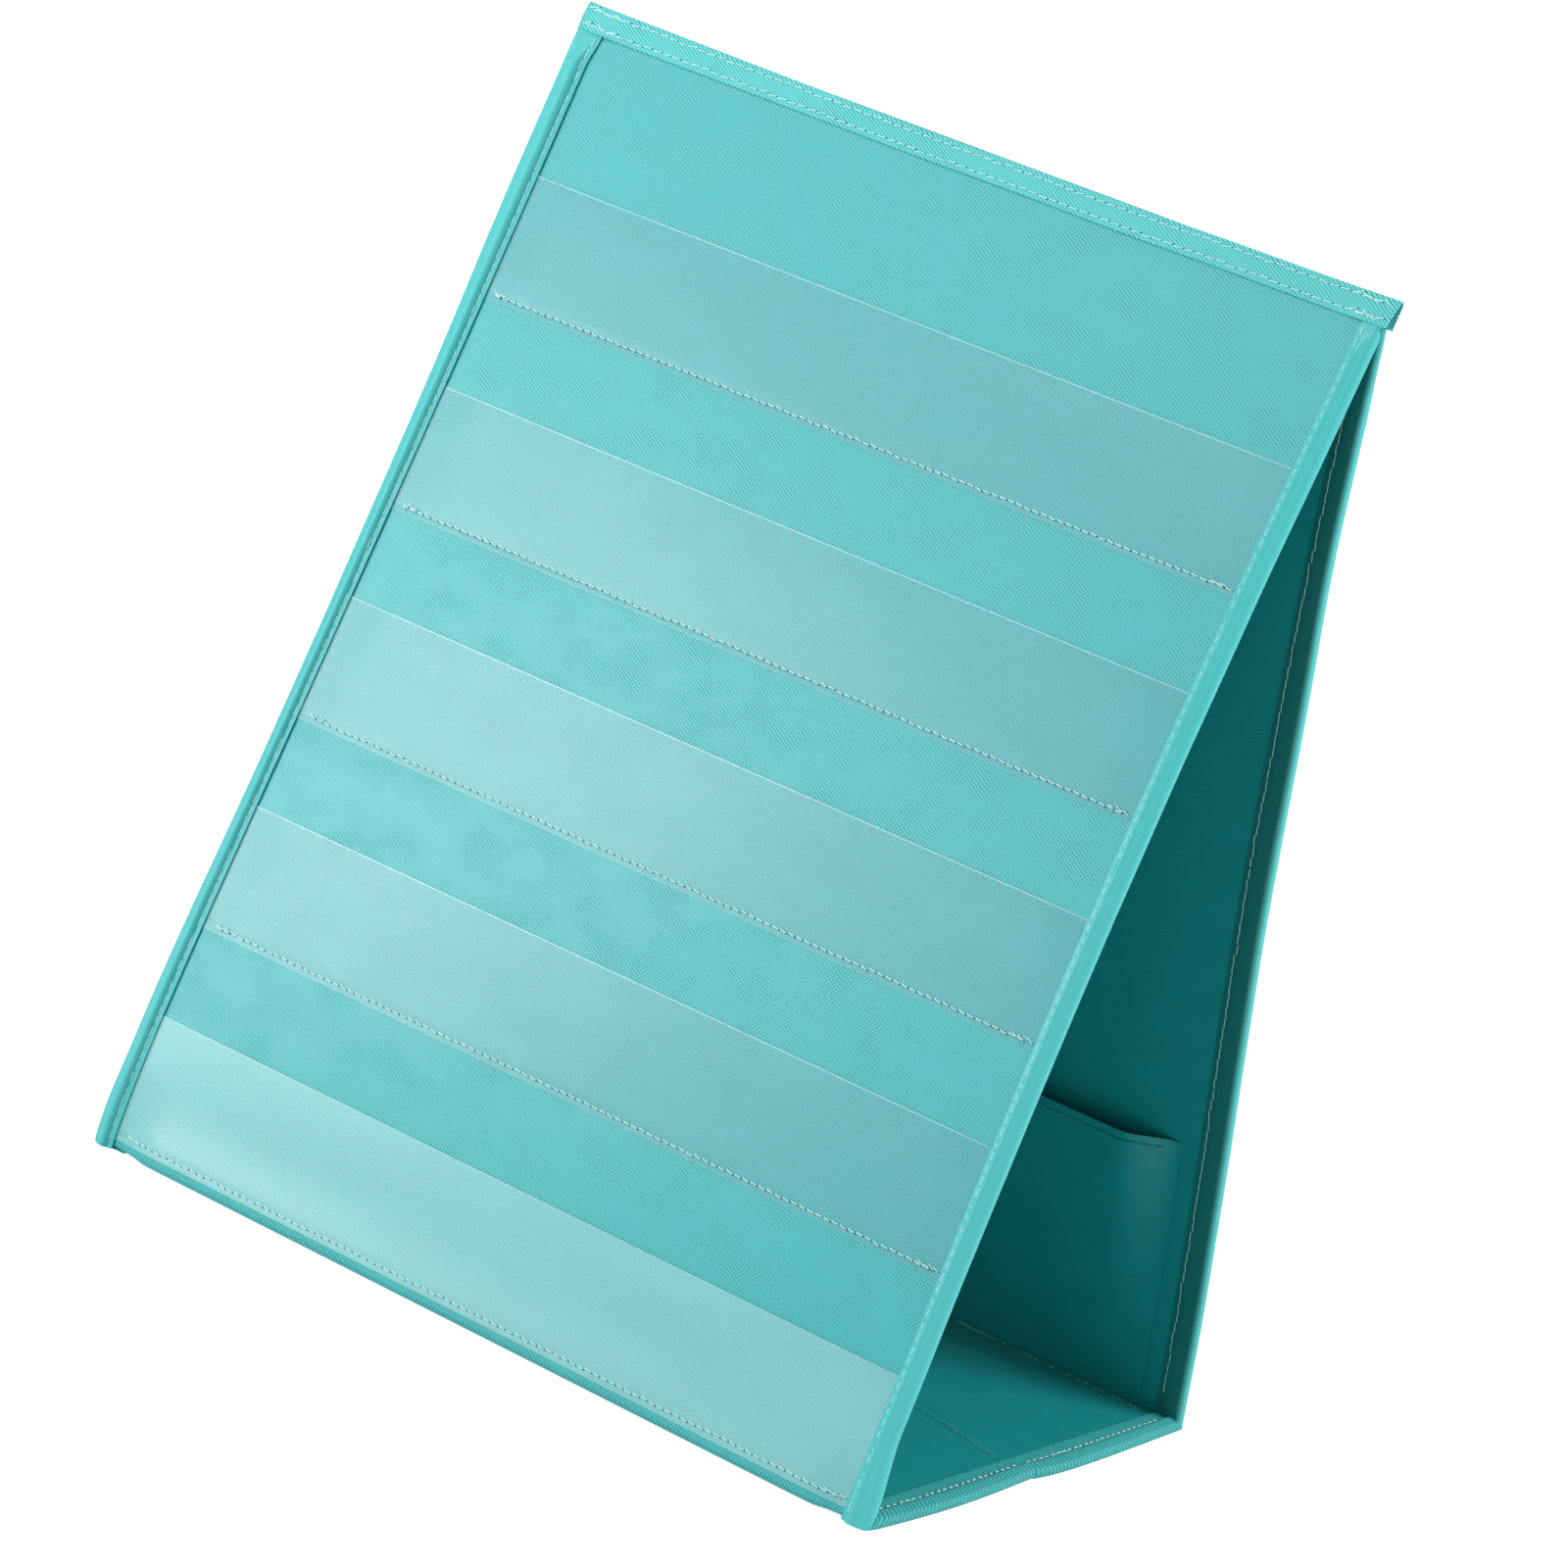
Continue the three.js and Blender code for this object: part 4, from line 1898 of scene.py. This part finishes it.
@dataclass
class Storage:
    """The storage pocket with its hem stitches.

    Args:
        finishes: The chart's materials.
        kit: The chart's stitches.
    """

    finishes: Finishes
    kit: SewingKit

    def make(self) -> None:
        """Make the pocket and its stitches, each with a mesh of its own."""
        pocket = StoragePocket(
            "storage_pocket_cloth", PanelBench(Side.BACK), self.finishes.lining, "lining", ("storage_pocket",)
        )
        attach(pocket.cut(), "back_panel")
        pocket.declare("hung", "back_lining_cloth")
        seam = Seam(
            "storage_pocket_stitches",
            pocket,
            row(-138, pocket.mouth - pocket.foot - 3),
            length=276,
            pitch=TAPE_PITCH,
            stands_for=("storage_pocket_seam",),
            seed=150,
        )
        stitches = seam.sew(self.kit.dark, "back_panel")
        inner_face = PanelBench(Side.BACK).stand() @ Vector((0, 0, -PANEL_THICKNESS))
        for piece in (pocket.piece, stitches):
            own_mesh(piece)


@dataclass(frozen=True)
class Studio:
    """Floor, world, lamps and camera.

    Args:
        camera_place: Where the camera stands, in metres.
        camera_turn: How it is turned, in degrees.
        lens: Its focal length, in mm.
        floor_glow: Light that the camera alone sees on the floor, which makes it white.
        world_level: Level of the even light on the object.
    """

    camera_place: tuple[float, float, float] = (0.94645, -1.71591, 0.64799)
    camera_turn: tuple[float, float, float] = (76.10345, -15.95278, 32.84415)
    lens: float = 138.71
    floor_glow: float = 0.75
    world_level: float = 0.38

    def make(self) -> None:
        """Set the stage, the light and the camera."""
        self.make_floor()
        self.make_world()
        # Each lamp's name, place, aim, size and power.
        self.make_lamp("key_softbox", (-1.0, -1.45, 1.55), (0, -0.05, 0.2), (0.8, 0.8), 8.0)
        self.make_lamp("low_softbox", (-0.74, -1.0, 0.35), (-0.1, -0.07, 0.16), (0.3, 0.46), 4.4)
        self.make_lamp("top_softbox", (-0.4, -0.65, 1.3), (-0.05, 0, 0.4), (0.5, 0.3), 4.2)
        self.make_lamp("left_softbox", (-1.1, -0.62, 0.45), (-0.14, 0, 0.25), (0.3, 0.9), 2.8)
        self.make_lamp("right_softbox", (1.7, 0.6, 1.5), (0.05, 0, 0.1), (1.2, 1.2), 45)
        self.make_lamp("fill_softbox", (1.1, -1.3, 0.3), (0.05, -0.08, 0.1), (0.8, 0.6), 2.0)
        self.make_lamp("back_softbox", (0.2, 2.2, 1.3), (0, 0, 0.3), (1.6, 1.2), 12)
        self.make_camera()

    def make_floor(self) -> None:
        """Lay a white floor that stays white in the picture and takes a faint shadow."""
        deselect_all()
        bpy.ops.mesh.primitive_plane_add(size=60, location=(0, 0, 0))
        floor = bpy.context.active_object
        floor.name = "studio_floor"
        material = bpy.data.materials.new("white_studio_floor")
        material.use_nodes = True
        tree = material.node_tree
        tree.nodes.clear()
        path = add_node(tree, "ShaderNodeLightPath")
        matt = add_node(tree, "ShaderNodeBsdfDiffuse", {"Color": (0.86, 0.86, 0.86, 1)})
        inputs = {0: path.outputs["Is Camera Ray"], 1: self.floor_glow}
        seen = add_node(tree, "ShaderNodeMath", inputs, operation="MULTIPLY")
        glow = add_node(tree, "ShaderNodeEmission", {"Strength": seen.outputs[0]})
        both = add_node(tree, "ShaderNodeAddShader", {0: matt.outputs[0], 1: glow.outputs[0]})
        add_node(tree, "ShaderNodeOutputMaterial", {"Surface": both.outputs[0]})
        floor.data.materials.append(material)

    def make_world(self) -> None:
        """Give soft even light, with white behind the object and in its reflections."""
        world = bpy.data.worlds.new("studio_world")
        bpy.context.scene.world = world
        world.use_nodes = True
        tree = world.node_tree
        tree.nodes.clear()
        path = add_node(tree, "ShaderNodeLightPath")
        level: Any = self.world_level
        for ray in ("Is Camera Ray", "Is Glossy Ray", "Is Transmission Ray"):
            inputs = {0: path.outputs[ray], 1: level}
            level = add_node(tree, "ShaderNodeMath", inputs, operation="MAXIMUM").outputs[0]
        glow = add_node(tree, "ShaderNodeBackground", {"Strength": level})
        add_node(tree, "ShaderNodeOutputWorld", {"Surface": glow.outputs[0]})

    def make_lamp(
        self,
        name: str,
        place: tuple[float, float, float],
        aim: tuple[float, float, float],
        size: tuple[float, float],
        power: float,
    ) -> None:
        """Hang one soft lamp.

        Args:
            name: The lamp's name.
            place: Where it hangs.
            aim: What it points at.
            size: Its width and height, in metres.
            power: Its power, in watts.
        """
        deselect_all()
        bpy.ops.object.light_add(type="AREA", location=place)
        lamp = bpy.context.active_object
        lamp.name = name
        lamp.data.shape = "RECTANGLE"
        lamp.data.size, lamp.data.size_y = size
        lamp.data.energy = power
        lamp.rotation_euler = (Vector(aim) - Vector(place)).to_track_quat("-Z", "Y").to_euler()

    def make_camera(self) -> None:
        """Stand the camera where the photograph was taken from."""
        turn = [math.radians(angle) for angle in self.camera_turn]
        bpy.ops.object.camera_add(location=self.camera_place, rotation=turn)
        camera = bpy.context.active_object
        camera.data.lens = self.lens
        camera.data.sensor_width = 36.0
        camera.data.clip_end = 100.0
        bpy.context.scene.camera = camera
        bpy.context.scene.view_settings.view_transform = "Standard"


def main() -> None:
    """Build the chart piece by piece, and light it."""
    finishes = Finishes()
    kit = SewingKit(finishes)
    Panel(Side.FRONT, finishes, kit).make()
    Panel(Side.BACK, finishes, kit, seed=7).make()
    Ridge(finishes, kit).make()
    Base(finishes, kit).make()
    Storage(finishes, kit).make()
    Studio().make()


if __name__ == "__main__":
    logging.basicConfig(level=logging.INFO, format="%(message)s")
    main()
